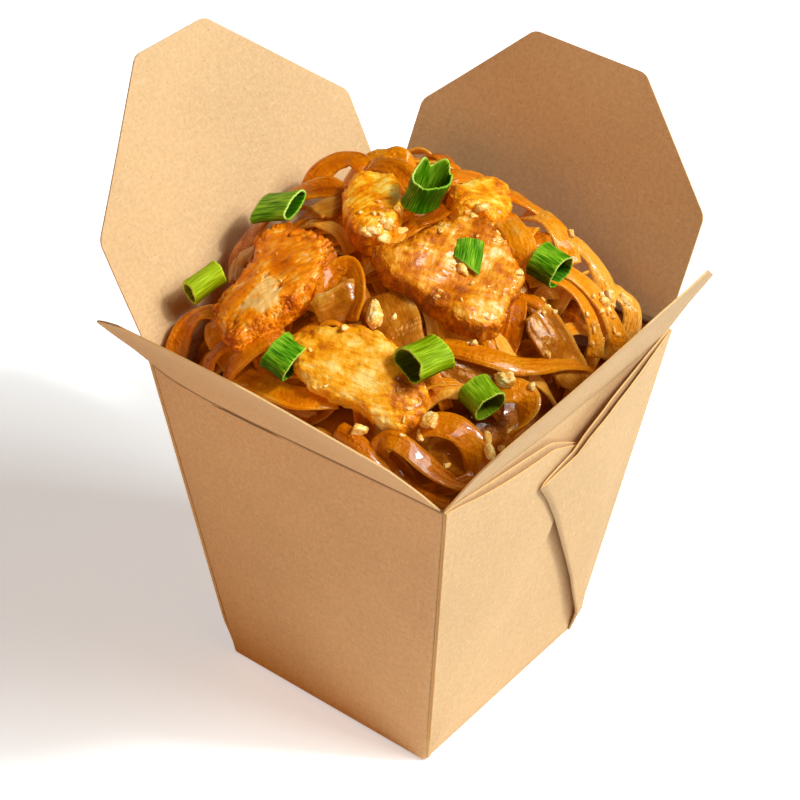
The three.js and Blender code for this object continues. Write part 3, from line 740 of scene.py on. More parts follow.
# the spring onion: middle, heading and pitch of each tube, its length, its half width and half height where it is
# pressed flat, how far it is turned about its own line, and where an end is torn
springOnions = {
    "spring_onion_1": {"at": (-44.3, -31.8, 121.5), "heading": 76.6, "pitch": 16.5, "length": 9.8, "half": (2.8, 3.8),
        "turn": 12.7, "seed": 1, "ripe": 0.35},
    "spring_onion_2": {"at": (-42.0, -4.9, 132.3), "heading": 13.1, "pitch": 22.3, "length": 10.7, "half": (6.1, 2.0),
        "turn": 4.6, "seed": 2, "ripe": 0.02},
    "spring_onion_3": {"at": (-7.4, 12.9, 142.9), "heading": 36.7, "pitch": 69.8, "length": 7.9, "half": (6.5, 4.0),
        "turn": -39.3, "seed": 3, "torn": 2.6, "back": 40},
    "spring_onion_5": {"at": (25.0, 23.7, 128.2), "heading": 0.7, "pitch": -12.1, "length": 7.5, "half": (5.0, 4.3),
        "turn": -3.4, "seed": 5},
    "spring_onion_6": {"at": (-8.8, -41.4, 120.0), "heading": 8.8, "pitch": -19.8, "length": 6.9, "half": (6.5, 4.4),
        "turn": -9.1, "seed": 6},
    "spring_onion_7": {"at": (21.5, -24.2, 124.0), "heading": 79.2, "pitch": -4.3, "length": 10.2, "half": (5.3, 3.7),
        "turn": 2.9, "seed": 7, "torn": 0.7, "tornAt": -1, "back": 200, "ripe": 0.24},
    "spring_onion_8": {"at": (34.8, -17.9, 114.8), "heading": -14.7, "pitch": -16.0, "length": 7.0,
        "half": (4.5, 4.4), "turn": 3.9, "seed": 8, "ripe": 0.16},
}


def makeSpringOnionMaterial(name, deep, mid, light, ribs):
    material, tree, shader = newMaterial(name)
    place = uvPlace(tree, "leaf")
    ribMask = noiseOf(tree, stretched(tree, place, (150.0, 1.4, 1.0)), 1.0, 2.0)
    broadMask = noiseOf(tree, stretched(tree, place, (7.0, 0.9, 1.0)), 1.0, 2.0)
    tint = swing(tree, ribMask, ribs, broadMask)
    tint = maths(tree, "ADD", tint, maths(tree, "MULTIPLY", attribute(tree, "cut"), 0.35))
    # painted shade: the underside of each tube is darker
    tint = maths(tree, "SUBTRACT", tint, maths(tree, "MULTIPLY", attribute(tree, "under"), 0.35))
    colour = ramp(tree, tint, [(0.2, deep), (0.48, mid), (0.85, light)])
    # older leaf is yellower
    yellower = blendColour(tree, 1.0, colour, tone("#D0B000"), "ADD")
    colour = blendColour(tree, attribute(tree, "ripe"), colour, yellower)
    sheen = {"Roughness": 0.45, "Specular IOR Level": 0.3, "Specular Tint": tone("#F2FF9A")}
    feed(tree, shader, {"Base Color": colour, **sheen})
    soften(tree, shader, 0.1, (0.5, 1.0, 0.1), 0.8)
    bump(tree, shader, ribMask, 0.7, 0.2)
    return material


leafSkin = makeSpringOnionMaterial("springOnionSkin", "#1B5600", "#4A8C00", "#A0C42A", 2.2)
leafCut = makeSpringOnionMaterial("springOnionCut", "#4A8A00", "#86B41C", "#C8DC6C", 0.8)


def buildSpringOnion(name, ring):
    # one leaf: a grid rolled into a pressed tube
    bm = bmesh.new()
    ripe, cut, under = newLayers(bm, "ripe", "cut", "under")
    bmesh.ops.create_grid(bm, x_segments=72, y_segments=22, size=1)
    unwrap(bm.verts, bm.loops.layers.uv.new("leaf"), at=(ring["seed"] * 0.13, 0.0))
    place = laid(Vector(ring["at"]), Vector((0, 0, 1)), ring["heading"], (0, -ring["pitch"]))
    place = place @ Matrix.Rotation(math.radians(ring["turn"]), 4, "X")
    half = ring["half"]
    seed = ring["seed"] * 5 + 3
    for vert in bm.verts:
        vert[ripe] = ring.get("ripe", 0.0)
        angle = math.pi * (vert.co.x + 0.5)
        reach = vert.co.y
        spin = Vector((math.cos(angle), math.sin(angle), 0))
        uneven = noise.noise(Vector((spin.x * 1.1, spin.y * 1.1, seed + reach * 0.4)))
        end = ring["length"] / 2 + 0.08 * noise.noise(Vector((spin.x * 9, spin.y * 9, seed)))
        end += 0.35 * noise.noise(Vector((spin.x * 1.6, spin.y * 1.6, seed + 9 * math.copysign(1, reach))))
        if ring.get("torn") and reach * ring.get("tornAt", 1) > 0:
            # the torn end stands up in a few points on one side
            points = abs(math.sin(angle * 2.5 + 0.6)) ** 1.4
            facing = math.cos(angle - math.radians(ring["back"]))
            torn = smooth(0.1, 0.7, facing) * (0.2 + 1.2 * points)
            end += ring["torn"] * (torn + 0.12 * noise.noise(Vector((spin.x * 3, spin.y * 3, seed))))
        flare = 1 + 0.05 * abs(reach) ** 3
        rib = 0.07 * math.sin(angle * 23 + 2 * uneven) + 0.05 * math.sin(angle * 41 + 5 * uneven)
        pinch = 1 + 0.10 * noise.noise(Vector((reach * 0.8, seed, 0)))
        y = (half[0] + rib) * (1 + 0.05 * uneven) * spin.x * flare
        z = (half[1] + rib) * (1 + 0.10 * uneven) * math.copysign(abs(spin.y) ** 0.9, spin.y) * pinch * flare
        vert.co = place @ Vector((reach * end, y, z))
        vert[cut] = smooth(0.88, 1.0, abs(reach))
        # painted shade: the side of the tube that faces down is marked to be darker
        vert[under] = smooth(0.2, -0.6, spin.y)
    bmesh.ops.remove_doubles(bm, verts=bm.verts, dist=0.01)
    bmesh.ops.recalc_face_normals(bm, faces=bm.faces)
    piece = finish(camel(name, "Leaf"), bm, [leafSkin, leafCut], stands=[name])
    thicken(piece, 0.5, -1)


for name, ring in springOnions.items():
    buildSpringOnion(name, ring)

# the flat slice that lies on the chicken
flatSlice = {"height": 135.2, "corners": [(7.2, 7.4), (12.4, 12.0), (17.8, 2.6), (9.8, 2.2)], "arch": 0.8}


def buildFlatSlice():
    bm = bmesh.new()
    cut, _ = newLayers(bm, "cut", "under")
    bmesh.ops.create_grid(bm, x_segments=26, y_segments=22, size=1)
    unwrap(bm.verts, bm.loops.layers.uv.new("leaf"), wide=0.35)
    a, b, c, d = [Vector(corner) for corner in flatSlice["corners"]]
    middle = (a + b + c + d) / 4
    normal = heapNormal(*middle)
    for vert in bm.verts:
        s, t = vert.co.x, vert.co.y
        rounded = 1 - 0.06 * (s * t) ** 2
        spot = middle + (a.lerp(b, (s + 1) / 2).lerp(d.lerp(c, (s + 1) / 2), (1 - t) / 2) - middle) * rounded
        spot += Vector((0.25 * noise.noise(Vector((s * 2, t * 2, 4))), 0.25 * noise.noise(Vector((s * 2, t * 2, 9)))))
        lift = flatSlice["arch"] * (1 - s * s) + 0.3 * noise.noise(Vector((s * 1.5, t * 1.5, 1)))
        height = flatSlice["height"] - (normal.x * (spot.x - middle.x) + normal.y * (spot.y - middle.y)) / normal.z
        vert[cut] = smooth(0.85, 1.0, max(abs(s), abs(t))) * 0.6
        vert.co = Vector((spot.x, spot.y, height)) + normal * lift
    bmesh.ops.recalc_face_normals(bm, faces=bm.faces)
    piece = finish("springOnion4Leaf", bm, [leafSkin, leafCut], stands=["spring_onion_4"])
    thicken(piece, 0.55, 0)


buildFlatSlice()
print("spring onion done")

# the onion: curved petals. middle, heading, half length and width, how far the middle is arched along and across,
# lean, height
onions = {
    "onion_1": {"at": (-8, -20.5), "heading": 62, "half": (7.5, 5), "arch": (1, 1.2), "lean": (38, 8), "above": 3},
    "onion_2": {"at": (8, -18.5), "heading": -38, "half": (12, 7), "arch": (1.4, 1.6), "lean": (8, 0), "above": 2.5},
    "onion_3": {"at": (28, -9), "heading": 24, "half": (12, 5.6), "arch": (0.8, 1.2), "lean": (4, 0), "above": 1.5},
    "onion_4": {"at": (34.8, -28), "heading": 55, "half": (7, 5), "arch": (0.8, 1.2), "lean": (10, 0), "above": 2},
    "onion_5": {"at": (-29.5, 7), "heading": 70, "half": (9, 6), "arch": (1.5, 2.2), "lean": (-8, 10), "above": 2.5},
    "onion_6": {"at": (-41, -16.5), "heading": 100, "half": (8.5, 4.6), "arch": (1.5, 1.8), "lean": (0, 0),
        "above": 2},
    "onion_7": {"at": (-3.5, -43.5), "heading": 15, "half": (6, 3), "arch": (0.8, 0.8), "lean": (0, 0), "above": 1.5},
    "onion_8": {"at": (37, 11), "heading": -2, "half": (11, 6.0), "arch": (0.9, 1.0), "lean": (0, 10), "above": 3.5},
}


def makeOnionMaterial():
    material, tree, shader = newMaterial("friedOnion")
    place = objectPlace(tree)
    veinMask = noiseOf(tree, stretched(tree, uvPlace(tree, "petal"), (1.4, 22.0, 1.0)), 1.0, 2.0, 0.6)
    tint = swing(tree, veinMask, 0.3, noiseOf(tree, place, 110.0, 3.0))
    tint = maths(tree, "ADD", tint, maths(tree, "MULTIPLY", attribute(tree, "rim"), 0.22))
    food = ramp(tree, tint, [(0.28, "#7E3E06"), (0.5, "#AC5E0A"), (0.7, "#CE8A2A"), (0.95, "#ECC07C")])
    depth = maths(tree, "MULTIPLY", attribute(tree, "sauce"), 0.5)
    glow(tree, shader, sauceAndShaded(tree, place, food, "#6A2A02", depth, 0.2, 150.0), 0.08)
    feed(tree, shader, {
        "Coat Weight": ramp(tree, noiseOf(tree, place, 300.0, 2.0), [(0.42, 0.1), (0.6, 0.6)]),
        "Coat Roughness": 0.05, "Roughness": 0.3, "Specular Tint": tone("#FFC070"),
    })
    soften(tree, shader, 0.3, (1.0, 0.5, 0.2), 2.0)
    beads = useGroup(tree, oilBeads, {"Vector": place, "Scale": 900.0, "Amount": 0.6})["Height"]
    swell = maths(tree, "MULTIPLY_ADD", noiseOf(tree, place, 260.0, 1.0), 2.2, maths(tree, "MULTIPLY", beads, 0.5))
    bump(tree, shader, maths(tree, "MULTIPLY_ADD", veinMask, 0.35, swell), 0.7, 0.5)
    return material


friedOnion = makeOnionMaterial()


def buildOnion(name, petal, seed):
    bm = bmesh.new()
    sauce, rim = newLayers(bm, "sauce", "rim")
    bmesh.ops.create_grid(bm, x_segments=40, y_segments=26, size=1)
    unwrap(bm.verts, bm.loops.layers.uv.new("petal"), at=(0.0, seed * 0.21))
    place = onHeap(petal)
    for vert in bm.verts:
        s, t = vert.co.x, vert.co.y
        wide = math.sqrt(max(0.5, 1 - abs(s) ** 6)) * (1 + 0.14 * noise.noise(Vector((s * 1.4, 0, seed))))
        lift = petal["arch"][0] * (1 - s * s) + petal["arch"][1] * (1 - (t * wide) ** 2) - sum(petal["arch"]) / 2
        curl = 0.9 * noise.noise(Vector((s * 1.3, t * 1.3, seed * 1.7)))
        curl += 0.22 * noise.noise(Vector((s * 2, t * 6, seed)))
        vert[sauce] = smooth(0.3, -1.0, t) * 0.5
        vert[rim] = smooth(0.6, 1.0, t)
        vert.co = place @ Vector((s * petal["half"][0], t * wide * petal["half"][1], lift + curl + 0.7))
    piece = finish(camel(name, "Petal"), bm, [friedOnion], stands=[name])
    thicken(piece, 1.1, 0, 0)


for seed, (name, petal) in enumerate(onions.items()):
    buildOnion(name, petal, seed)
print("onion done")

# the peanuts: the three large bits, and the crumbs strewn about places on the food
nuts = {
    "peanut_1": {"at": (2.0, -19.8, 126.4), "half": (3.9, 2.3, 2.1), "heading": 127, "rise": 42, "seed": 41},
    "peanut_2": {"at": (35.2, -8.2, 115.2), "half": (3.0, 2.6, 2.3), "heading": 10, "rise": 10, "seed": 43},
    "peanut_3": {"at": (29.0, -31.2, 112.2), "half": (2.7, 2.3, 2.0), "heading": 80, "rise": 20, "seed": 47},
}
# the crumbs one sees: x, y and half size. The strewn ones: place, how far round it they lie, how many, and half size
crumbs = {
    "seen": [
        (-10.8, 5.4, 1.3), (-9.1, -0.5, 1.2), (-9.4, 4.6, 1.6), (-8.7, -3.0, 1.5), (-12.7, -5.8, 1.1),
        (-11.0, -5.4, 1.0), (-8.2, 12.0, 1.4), (-10.4, -4.4, 1.5), (2.0, 24.3, 1.6), (0.1, 22.4, 1.1),
        (5.3, 16.9, 1.1), (12.9, 2.0, 1.5), (14.4, 1.6, 0.9), (20.7, 18.2, 1.4), (23.8, 22.4, 1.4),
        (17.7, 43.6, 1.2), (36.4, 33.3, 1.4), (33.0, 42.1, 1.3), (35.5, 45.2, 1.3), (24.6, -7.8, 1.3),
        (6.1, -16.9, 0.8), (28.7, -34.4, 0.9), (35.2, -32.3, 0.9), (37.8, 6.2, 0.9), (23.3, 12.4, 1.2),
        (14.7, -41.7, 1.9), (1.2, -30.0, 1.1), (43.0, -25.3, 1.6), (41.0, -24.0, 1.3), (41.3, -5.4, 1.1),
        (2.7, 6.0, 0.8), (-17.0, -2.1, 0.8), (-4.5, 9.8, 1.0),
    ],
    "strewn": [
        (-10, 0, 4, 9, 0.8), (-3, 20, 5, 7, 0.8), (8, 17, 5, 7, 0.8), (16, 2, 4, 3, 0.6), (30, 13, 5, 7, 0.9),
        (38, 32, 5, 12, 1.0), (38, 26, 5, 8, 0.9), (26, -35, 5, 4, 0.7), (41, -12, 5, 6, 0.9),
        (-27, -25, 8, 4, 0.5), (-2, -42, 8, 5, 0.6), (-35, -44, 6, 4, 0.7), (18, -8, 6, 4, 0.6),
    ],
    "seed": 17,
}


def makePeanutMaterial():
    material, tree, shader = newMaterial("roastPeanut")
    place = objectPlace(tree)
    mottle = noiseOf(tree, place, 420.0, 3.0, 0.6)
    fineMottle = noiseOf(tree, place, 1800.0, 2.0)
    tint = swing(tree, fineMottle, 0.6, mottle)
    food = ramp(tree, tint, [(0.26, "#D08018"), (0.48, "#F8BC50"), (0.72, "#FFE8AC")])
    glow(tree, shader, food, 0.1)
    feed(tree, shader, {"Roughness": 0.4})
    soften(tree, shader, 0.15, (1.0, 0.6, 0.2), 1.0)
    bump(tree, shader, fineMottle, 0.5, 0.15)
    return material


roastPeanut = makePeanutMaterial()


def addNut(bm, place, half, seed, detail):
    # a broken bit: a lump with flat faces where it cracked
    draw = random.Random(seed)
    made = bmesh.ops.create_icosphere(bm, subdivisions=detail, radius=1)["verts"]
    cuts = []
    for _ in range(6):
        way = Vector((draw.uniform(-1, 1), draw.uniform(-1, 1), draw.uniform(-1, 1))).normalized()
        cuts.append((way, draw.uniform(0.45, 0.85)))
    for vert in made:
        spot = vert.co.normalized()
        for way, reach in cuts:
            over = spot.dot(way) - reach
            if over > 0:
                spot = spot - way * over
        lumps = 0.16 * noise.noise(spot * 2.2 + Vector((seed, 0, 0)))
        spot *= 1 + lumps + 0.08 * noise.noise(spot * 5 + Vector((0, seed, 0)))
        vert.co = place @ Vector((spot.x * half[0], spot.y * half[1], spot.z * half[2]))


for name, nut in nuts.items():
    bm = bmesh.new()
    place = laid(Vector(nut["at"]), Vector((0, 0, 1)), nut["heading"], (0, -nut["rise"]))
    addNut(bm, place, nut["half"], nut["seed"], 5)
    finish(camel(name, "Bit"), bm, [roastPeanut], stands=[name])

# the noodles. The pack starts that far under the heap's top, and noodles are laid on it until none fits under the top
noodles = {
    "width": (3.4, 6.4), "thickness": 1.25, "packed": 10.0, "over": 1.5, "tries": 16000, "seed": 8, "turns": 46,
    "wallGap": 0.9, "bend": 0.05, "dive": 5.5, "diveOver": 7.5,
}
# deep places where nothing lies high: x, y, how wide and how far under the top
hollows = [
    (34, -33, 5.5, 9), (25, -39.5, 4, 8), (38.5, -9.4, 4.5, 8), (-8.5, -17, 3.5, 6), (-17, -27, 3, 6),
    (-18, -10, 4, 6), (28, 22, 3.5, 5), (36, -19, 3, 5),
]
# loose noodles that lie on top: their way through x, y, z, the width and the roll along it in degrees
looseNoodles = {
    "cornerArch": {"path": [(21.2, -41.8, 103.1), (21.4, -40.5, 107.4), (24.1, -39.6, 109.1), (28.1, -38.7, 107.7),
        (32.5, -37.8, 105.0), (37.1, -36.0, 101.8), (40.1, -33.4, 99.5), (40.9, -29.5, 98.1)], "width": 5.6,
        "roll": (35, 20, -10), "tint": 0.28},
    "cornerLoop": {"path": [(24.8, -32.8, 107.0), (28.4, -30.8, 110.3), (31.5, -29.2, 111.2), (35.3, -27.6, 110.4),
        (38.9, -26.9, 107.5), (41.2, -27.4, 103.9), (42.3, -28.9, 100.0), (42.3, -31.7, 96.7)], "width": 7.4,
        "roll": (10, 30, 45), "tint": 0.34},
    "cornerLow": {"path": [(22.8, -39.7, 103.6), (26.7, -40.2, 101.9), (31.2, -40.9, 98.9), (36.7, -40.4, 97.4),
        (41, -38.4, 96.5)], "width": 5.2, "roll": (20, 0, 0), "tint": 0.1},
    "cornerStrand": {"path": [(32.5, -40.4, 97.0), (36.5, -37.3, 98.3), (39.5, -34.0, 99.1), (41.0, -30.0, 99.6),
        (41.5, -25.7, 100.3)], "width": 3.6, "roll": (40, 60, 30), "tint": 0.15},
    "rightRing": {"path": [(33.5, -12.9, 110.6), (36.0, -10.0, 112.6), (38.6, -8.0, 112.9), (41.1, -7.4, 111.6),
        (42.6, -8.6, 109.0), (42.8, -11.2, 106.3), (41.4, -14.2, 103.6)], "width": 7.2, "roll": (15, 35, 55),
        "tint": 0.5},
    "longWide": {"path": [(16.3, -13.7, 119.4), (21.1, -11.6, 120.0), (26.3, -9.6, 119.7), (31.0, -6.8, 118.4),
        (35.0, -3.8, 116.7), (38.1, 1.5, 114.9), (39.9, 8.3, 113.0), (41.8, 13.8, 110.3), (42.6, 17.4, 107.0)],
        "width": 6.4, "roll": (5, 15, -10), "tint": 0.42},
    "rightA": {"path": [(21.0, 20.5, 122.6), (24.5, 23.9, 123.3), (28.6, 26.0, 122.4), (33.2, 26.6, 119.6),
        (37.2, 26.0, 115.6), (39.9, 25.0, 111.0), (41.4, 23.0, 107.0)], "width": 4.6, "roll": (0, -25, -10)},
    "rightB": {"path": [(21.1, 27.4, 121.6), (25.1, 30.6, 122.6), (30.4, 32.3, 120.4), (35.8, 32.6, 116.5),
        (40.0, 32.5, 111.8), (42.6, 31.6, 107.0), (43.4, 29.0, 103.0)], "width": 6.4, "roll": (0, -15, -10)},
    "rightC": {"path": [(12.9, 44.8, 120.7), (17.3, 46.0, 121.0), (21.6, 46.4, 118.9), (26.3, 45.7, 115.8),
        (30.7, 43.0, 112.7), (33, 39, 110)], "width": 5.8, "roll": (0, -20, 10)},
    "rightD": {"path": [(28.5, 43.6, 111.9), (32.7, 45.3, 111.3), (36.9, 45.7, 108.6), (39.8, 42.7, 106.1),
        (41, 38, 103)], "width": 5.4, "roll": (10, 0, -20)},
    "backE": {"path": [(-9.8, 38.8, 128.1), (-4.0, 41.6, 129.6), (2.4, 42.8, 128.9), (7.6, 45.0, 125.7),
        (11.7, 46.3, 121.6), (15.5, 45.8, 117.0)], "width": 6.2, "roll": (0, -20, -10), "tint": 0.45},
    "backF": {"path": [(1.8, 31.0, 128.5), (7.3, 28.6, 131.3), (13.0, 25.7, 131.3), (17.2, 22.7, 128.9),
        (18.4, 18.8, 124.0)], "width": 7.6, "roll": (-10, 10, 20)},
    "backG": {"path": [(3.0, 43.4, 124.4), (9.0, 42.4, 126.9), (14.4, 41.3, 126.4), (18.6, 40.2, 123.2),
        (21.7, 38.8, 118.7)], "width": 6.6, "roll": (10, -10, 0)},
    "topH": {"path": [(-36.5, 20.0, 131.0), (-32.8, 22.0, 135.4), (-27.7, 22.6, 137.6), (-22.4, 21.6, 138.2),
        (-17.6, 20.2, 136.9), (-13.3, 17.6, 133.3)], "width": 7.0, "roll": (-10, 15, 10), "tint": 0.3},
    "topI": {"path": [(-15.4, 29.2, 132.6), (-13.9, 33.5, 134.4), (-12.3, 38.1, 132.6), (-9.5, 42.2, 130.2),
        (-6.8, 45.5, 125.4)], "width": 6.0, "roll": (0, 20, 0), "tint": 0.35},
    "leftK": {"path": [(-42.9, -45.4, 104.2), (-43.9, -43.1, 107.6), (-44.2, -40.0, 110.9), (-42.4, -37.3, 114.4),
        (-39.3, -35.6, 116.4), (-35.8, -34.0, 115.3)], "width": 6.0, "roll": (40, 15, -10), "tint": 0.3},
    "leftM": {"path": [(-31.2, -46.2, 107.0), (-30.6, -45.0, 110.6), (-29.4, -43.3, 113.3), (-27.8, -40.5, 114.9),
        (-27.8, -36.4, 115.0)], "width": 4.8, "roll": (20, 0, 0), "tint": 0.2},
    "leftN": {"path": [(-24.6, -46.1, 107.6), (-23.2, -45.0, 112.4), (-20.9, -42.2, 116.2), (-18.8, -38.7, 118.6),
        (-17.0, -33.8, 118.8)], "width": 6.8, "roll": (25, 10, 0), "tint": 0.3},
    "leftO": {"path": [(-20.8, -44.5, 109.8), (-14.6, -45.8, 111.4), (-7.9, -45.8, 111.8), (-2.4, -44.8, 112.0),
        (1.6, -42.2, 112.4), (3.8, -37.8, 111.0)], "width": 7.2, "roll": (10, 10, 20), "tint": 0.42},
    "leftP": {"path": [(-43.3, 6.7, 126.0), (-45.6, 1.8, 127.4), (-46.6, -4.4, 126.6), (-46.0, -11.2, 124.4),
        (-44.0, -17.0, 122.5), (-40.5, -21.1, 119.4)], "width": 7.6, "roll": (25, 35, 20), "tint": 0.08},
    "topQ": {"path": [(-44.9, 11.6, 127.5), (-44.9, 15.5, 131.2), (-43.2, 19.9, 133.6), (-39.2, 22.7, 134.9),
        (-35.1, 22.0, 134.9), (-31.5, 20.7, 131.7)], "width": 6.8, "roll": (20, 10, -10), "tint": 0.22},
    "topR": {"path": [(-44.6, 0.6, 127.7), (-42.4, 3.6, 131.3), (-38.1, 6.4, 134.0), (-34.0, 8.8, 134.6),
        (-30.2, 11.3, 131.8)], "width": 7.0, "roll": (0, 20, 0), "tint": 0.2},
    "middleS": {"path": [(-11.4, -24.4, 122.6), (-13.4, -20.6, 127.7), (-13.7, -16.5, 130.4), (-11.4, -13.4, 131.4),
        (-7.6, -15.0, 130.0), (-4.6, -18.1, 127.2), (-3.4, -22.1, 122.8)], "width": 5.4, "roll": (40, 60, 40),
        "tint": 0.32},
    "cornerU": {"path": [(9.6, -43.0, 107.1), (13.6, -43.6, 107.4), (18.4, -43.6, 105.7), (23.4, -43.0, 102.6),
        (28, -43.4, 98.4)], "width": 5.0, "roll": (30, 10, 0), "tint": 0.25},
}


def resample(points, count):
    # a smooth line through the points, in even steps
    line = np.array(points, float)
    line = np.vstack([2 * line[0] - line[1], line, 2 * line[-1] - line[-2]])
    dense = []
    for i in range(1, len(line) - 2):
        for t in np.linspace(0, 1, 12, endpoint=False):
            a, b, c, d = line[i - 1:i + 3]
            place = 2 * b + (c - a) * t + (2 * a - 5 * b + 4 * c - d) * t * t
            dense.append(0.5 * (place + (3 * b - a - 3 * c + d) * t ** 3))
    dense.append(line[-2])
    dense = np.array(dense)
    steps = np.concatenate([[0], np.cumsum(np.linalg.norm(np.diff(dense, axis=0), axis=1))])
    even = np.linspace(0, steps[-1], count)
    return np.array([np.interp(even, steps, dense[:, i]) for i in range(dense.shape[1])]).T, steps[-1]


class Relief:
    # the height of what lies so far, and of what must stay above it, on a grid over the pail
    def __init__(self):
        self.half, self.count = 56.0, 141
        self.step = 2 * self.half / (self.count - 1)
        places = np.linspace(-self.half, self.half, self.count)
        self.top = np.array([[heapTop(x, y) for y in places] for x in places])
        self.low = self.top - noodles["packed"]
        self.roof = np.full_like(self.top, 999.0)
        self.x, self.y = np.meshgrid(places, places, indexing="ij")

    def index(self, points):
        return tuple(np.clip(np.rint((points.T + self.half) / self.step).astype(int), 0, self.count - 1))

    def cover(self, shape, height):
        # nothing rises over height within shape
        self.roof = np.where(shape(self.x, self.y), np.minimum(self.roof, height(self.x, self.y)), self.roof)


relief = Relief()


def inFrame(x, y, at, angle):
    # a place as it lies along and across a piece that heads at an angle
    dx, dy = x - at[0], y - at[1]
    return dx * math.cos(angle) + dy * math.sin(angle), -dx * math.sin(angle) + dy * math.cos(angle)


def coverFood():
    # the noodles stay under the toppings, but may lean against their sides
    for meat in chicken.values():
        place = onHeap(meat)
        back = place.inverted()
        reach = np.array(meat["reach"])

        def insideMeat(x, y):
            z = np.full_like(x, place.translation.z)
            u = back[0][0] * x + back[0][1] * y + back[0][2] * z + back[0][3]
            v = back[1][0] * x + back[1][1] * y + back[1][2] * z + back[1][3]
            steps = np.arange(len(reach) + 1)
            limit = np.interp((np.arctan2(v, u) / (2 * math.pi)) % 1 * len(reach), steps, np.append(reach, reach[0]))
            return np.hypot(u, v) < limit - 2.2

        def under(x, y):
            normal = place.to_3x3() @ Vector((0, 0, 1))
            at = place.translation - normal * meat["thick"] * 0.2
            return at.z - (normal.x * (x - at.x) + normal.y * (y - at.y)) / normal.z

        relief.cover(insideMeat, under)
    for petal in onions.values():
        at, half, angle = petal["at"], petal["half"], math.radians(petal["heading"])
        level = heapTop(*at) - 3.0 + petal["above"] - sum(petal["arch"]) / 2

        def insidePetal(x, y):
            u, v = inFrame(x, y, at, angle)
            return (u / (half[0] - 1.2)) ** 2 + (v / (half[1] - 1.0)) ** 2 < 1

        relief.cover(insidePetal, lambda x, y: np.full_like(x, level))
    for ring in springOnions.values():
        at, half, angle = ring["at"], ring["half"], math.radians(ring["heading"])
        reach = ring["length"] / 2 * math.cos(math.radians(ring["pitch"]))

        def insideLeaf(x, y):
            u, v = inFrame(x, y, at, angle)
            return (np.abs(u) < reach) & (np.abs(v) < half[0] - 0.8)

        relief.cover(insideLeaf, lambda x, y: np.full_like(x, at[2] - half[1] * 0.9))


def waysOf(path):
    # the way a path runs at each of its points, and the way to its side
    ahead = np.gradient(path, axis=0)
    ahead /= np.maximum(np.hypot(*ahead.T), 1e-6)[:, None]
    return ahead, np.array([-ahead[:, 1], ahead[:, 0]]).T


def layNoodle(path, length, width, roll, arch):
    # drapes a noodle over what lies so far; gives its points, its sides and its slopes, or None where it has no room
    ahead, side = waysOf(path)
    reach = width / 2 * np.cos(roll)
    lanes = np.linspace(-1, 1, 7)
    grids = [relief.index(path + side * (reach * lane)[:, None]) for lane in lanes]
    heights = np.array([relief.low[grid] for grid in grids])
    floor = heights.max(axis=0) * 0.5 + heights.mean(axis=0) * 0.5
    count = len(path)
    steps = np.arange(count) * length / (count - 1)
    lifted = (floor[None, :] - noodles["bend"] * (steps[:, None] - steps[None, :]) ** 2).max(axis=1)
    kernel = np.array([1, 3, 5, 3, 1]) / 13.0
    lifted = np.convolve(np.pad(lifted, 2, mode="edge"), kernel, mode="valid")
    ends = np.minimum(steps, length - steps)
    dive = noodles["dive"] * np.clip(1 - ends / noodles["diveOver"], 0, 1) ** 2
    z = lifted + noodles["thickness"] * 0.4 + width / 2 * np.abs(np.sin(roll)) * 0.35
    z = z + arch * np.sin(np.pi * steps / length) - dive
    roof = np.array([relief.roof[grid] for grid in grids[1:-1]]).min(axis=0)
    if (z + noodles["thickness"] / 2 > roof).any():
        return None
    over = z - relief.top[relief.index(path)]
    if over.mean() > noodles["over"] or over.max() > noodles["over"] + 3.0:
        return None
    tilt = np.clip((heights[-2] - heights[1]) / (width * 0.66), -0.6, 0.6)
    tilt = np.convolve(np.pad(tilt, 3, mode="edge"), np.ones(7) / 7, mode="valid") * 0.8
    angle = np.arctan(tilt) + roll
    for lane, grid in zip(lanes[1:-1], grids[1:-1]):
        surface = z + noodles["thickness"] * 0.4 + lane * width / 2 * np.sin(angle)
        np.maximum.at(relief.low, grid, surface)
    return path, ahead, side, z, angle


def layLoose(loose, count):
    # a noodle that goes its own way; what is laid later stays under it
    points, length = resample(loose["path"], count)
    path, z = points[:, :2], points[:, 2]
    ahead, side = waysOf(path)
    angle = np.radians(np.interp(np.linspace(0, 1, count), np.linspace(0, 1, len(loose["roll"])), loose["roll"]))
    for lane in (-0.8, -0.4, 0, 0.4, 0.8):
        grid = relief.index(path + side * (lane * loose["width"] / 2 * np.cos(angle))[:, None])
        under = z + lane * loose["width"] / 2 * np.sin(angle) - noodles["thickness"] * 0.8
        np.minimum.at(relief.roof, grid, under)
    return (path, ahead, side, z, angle), length


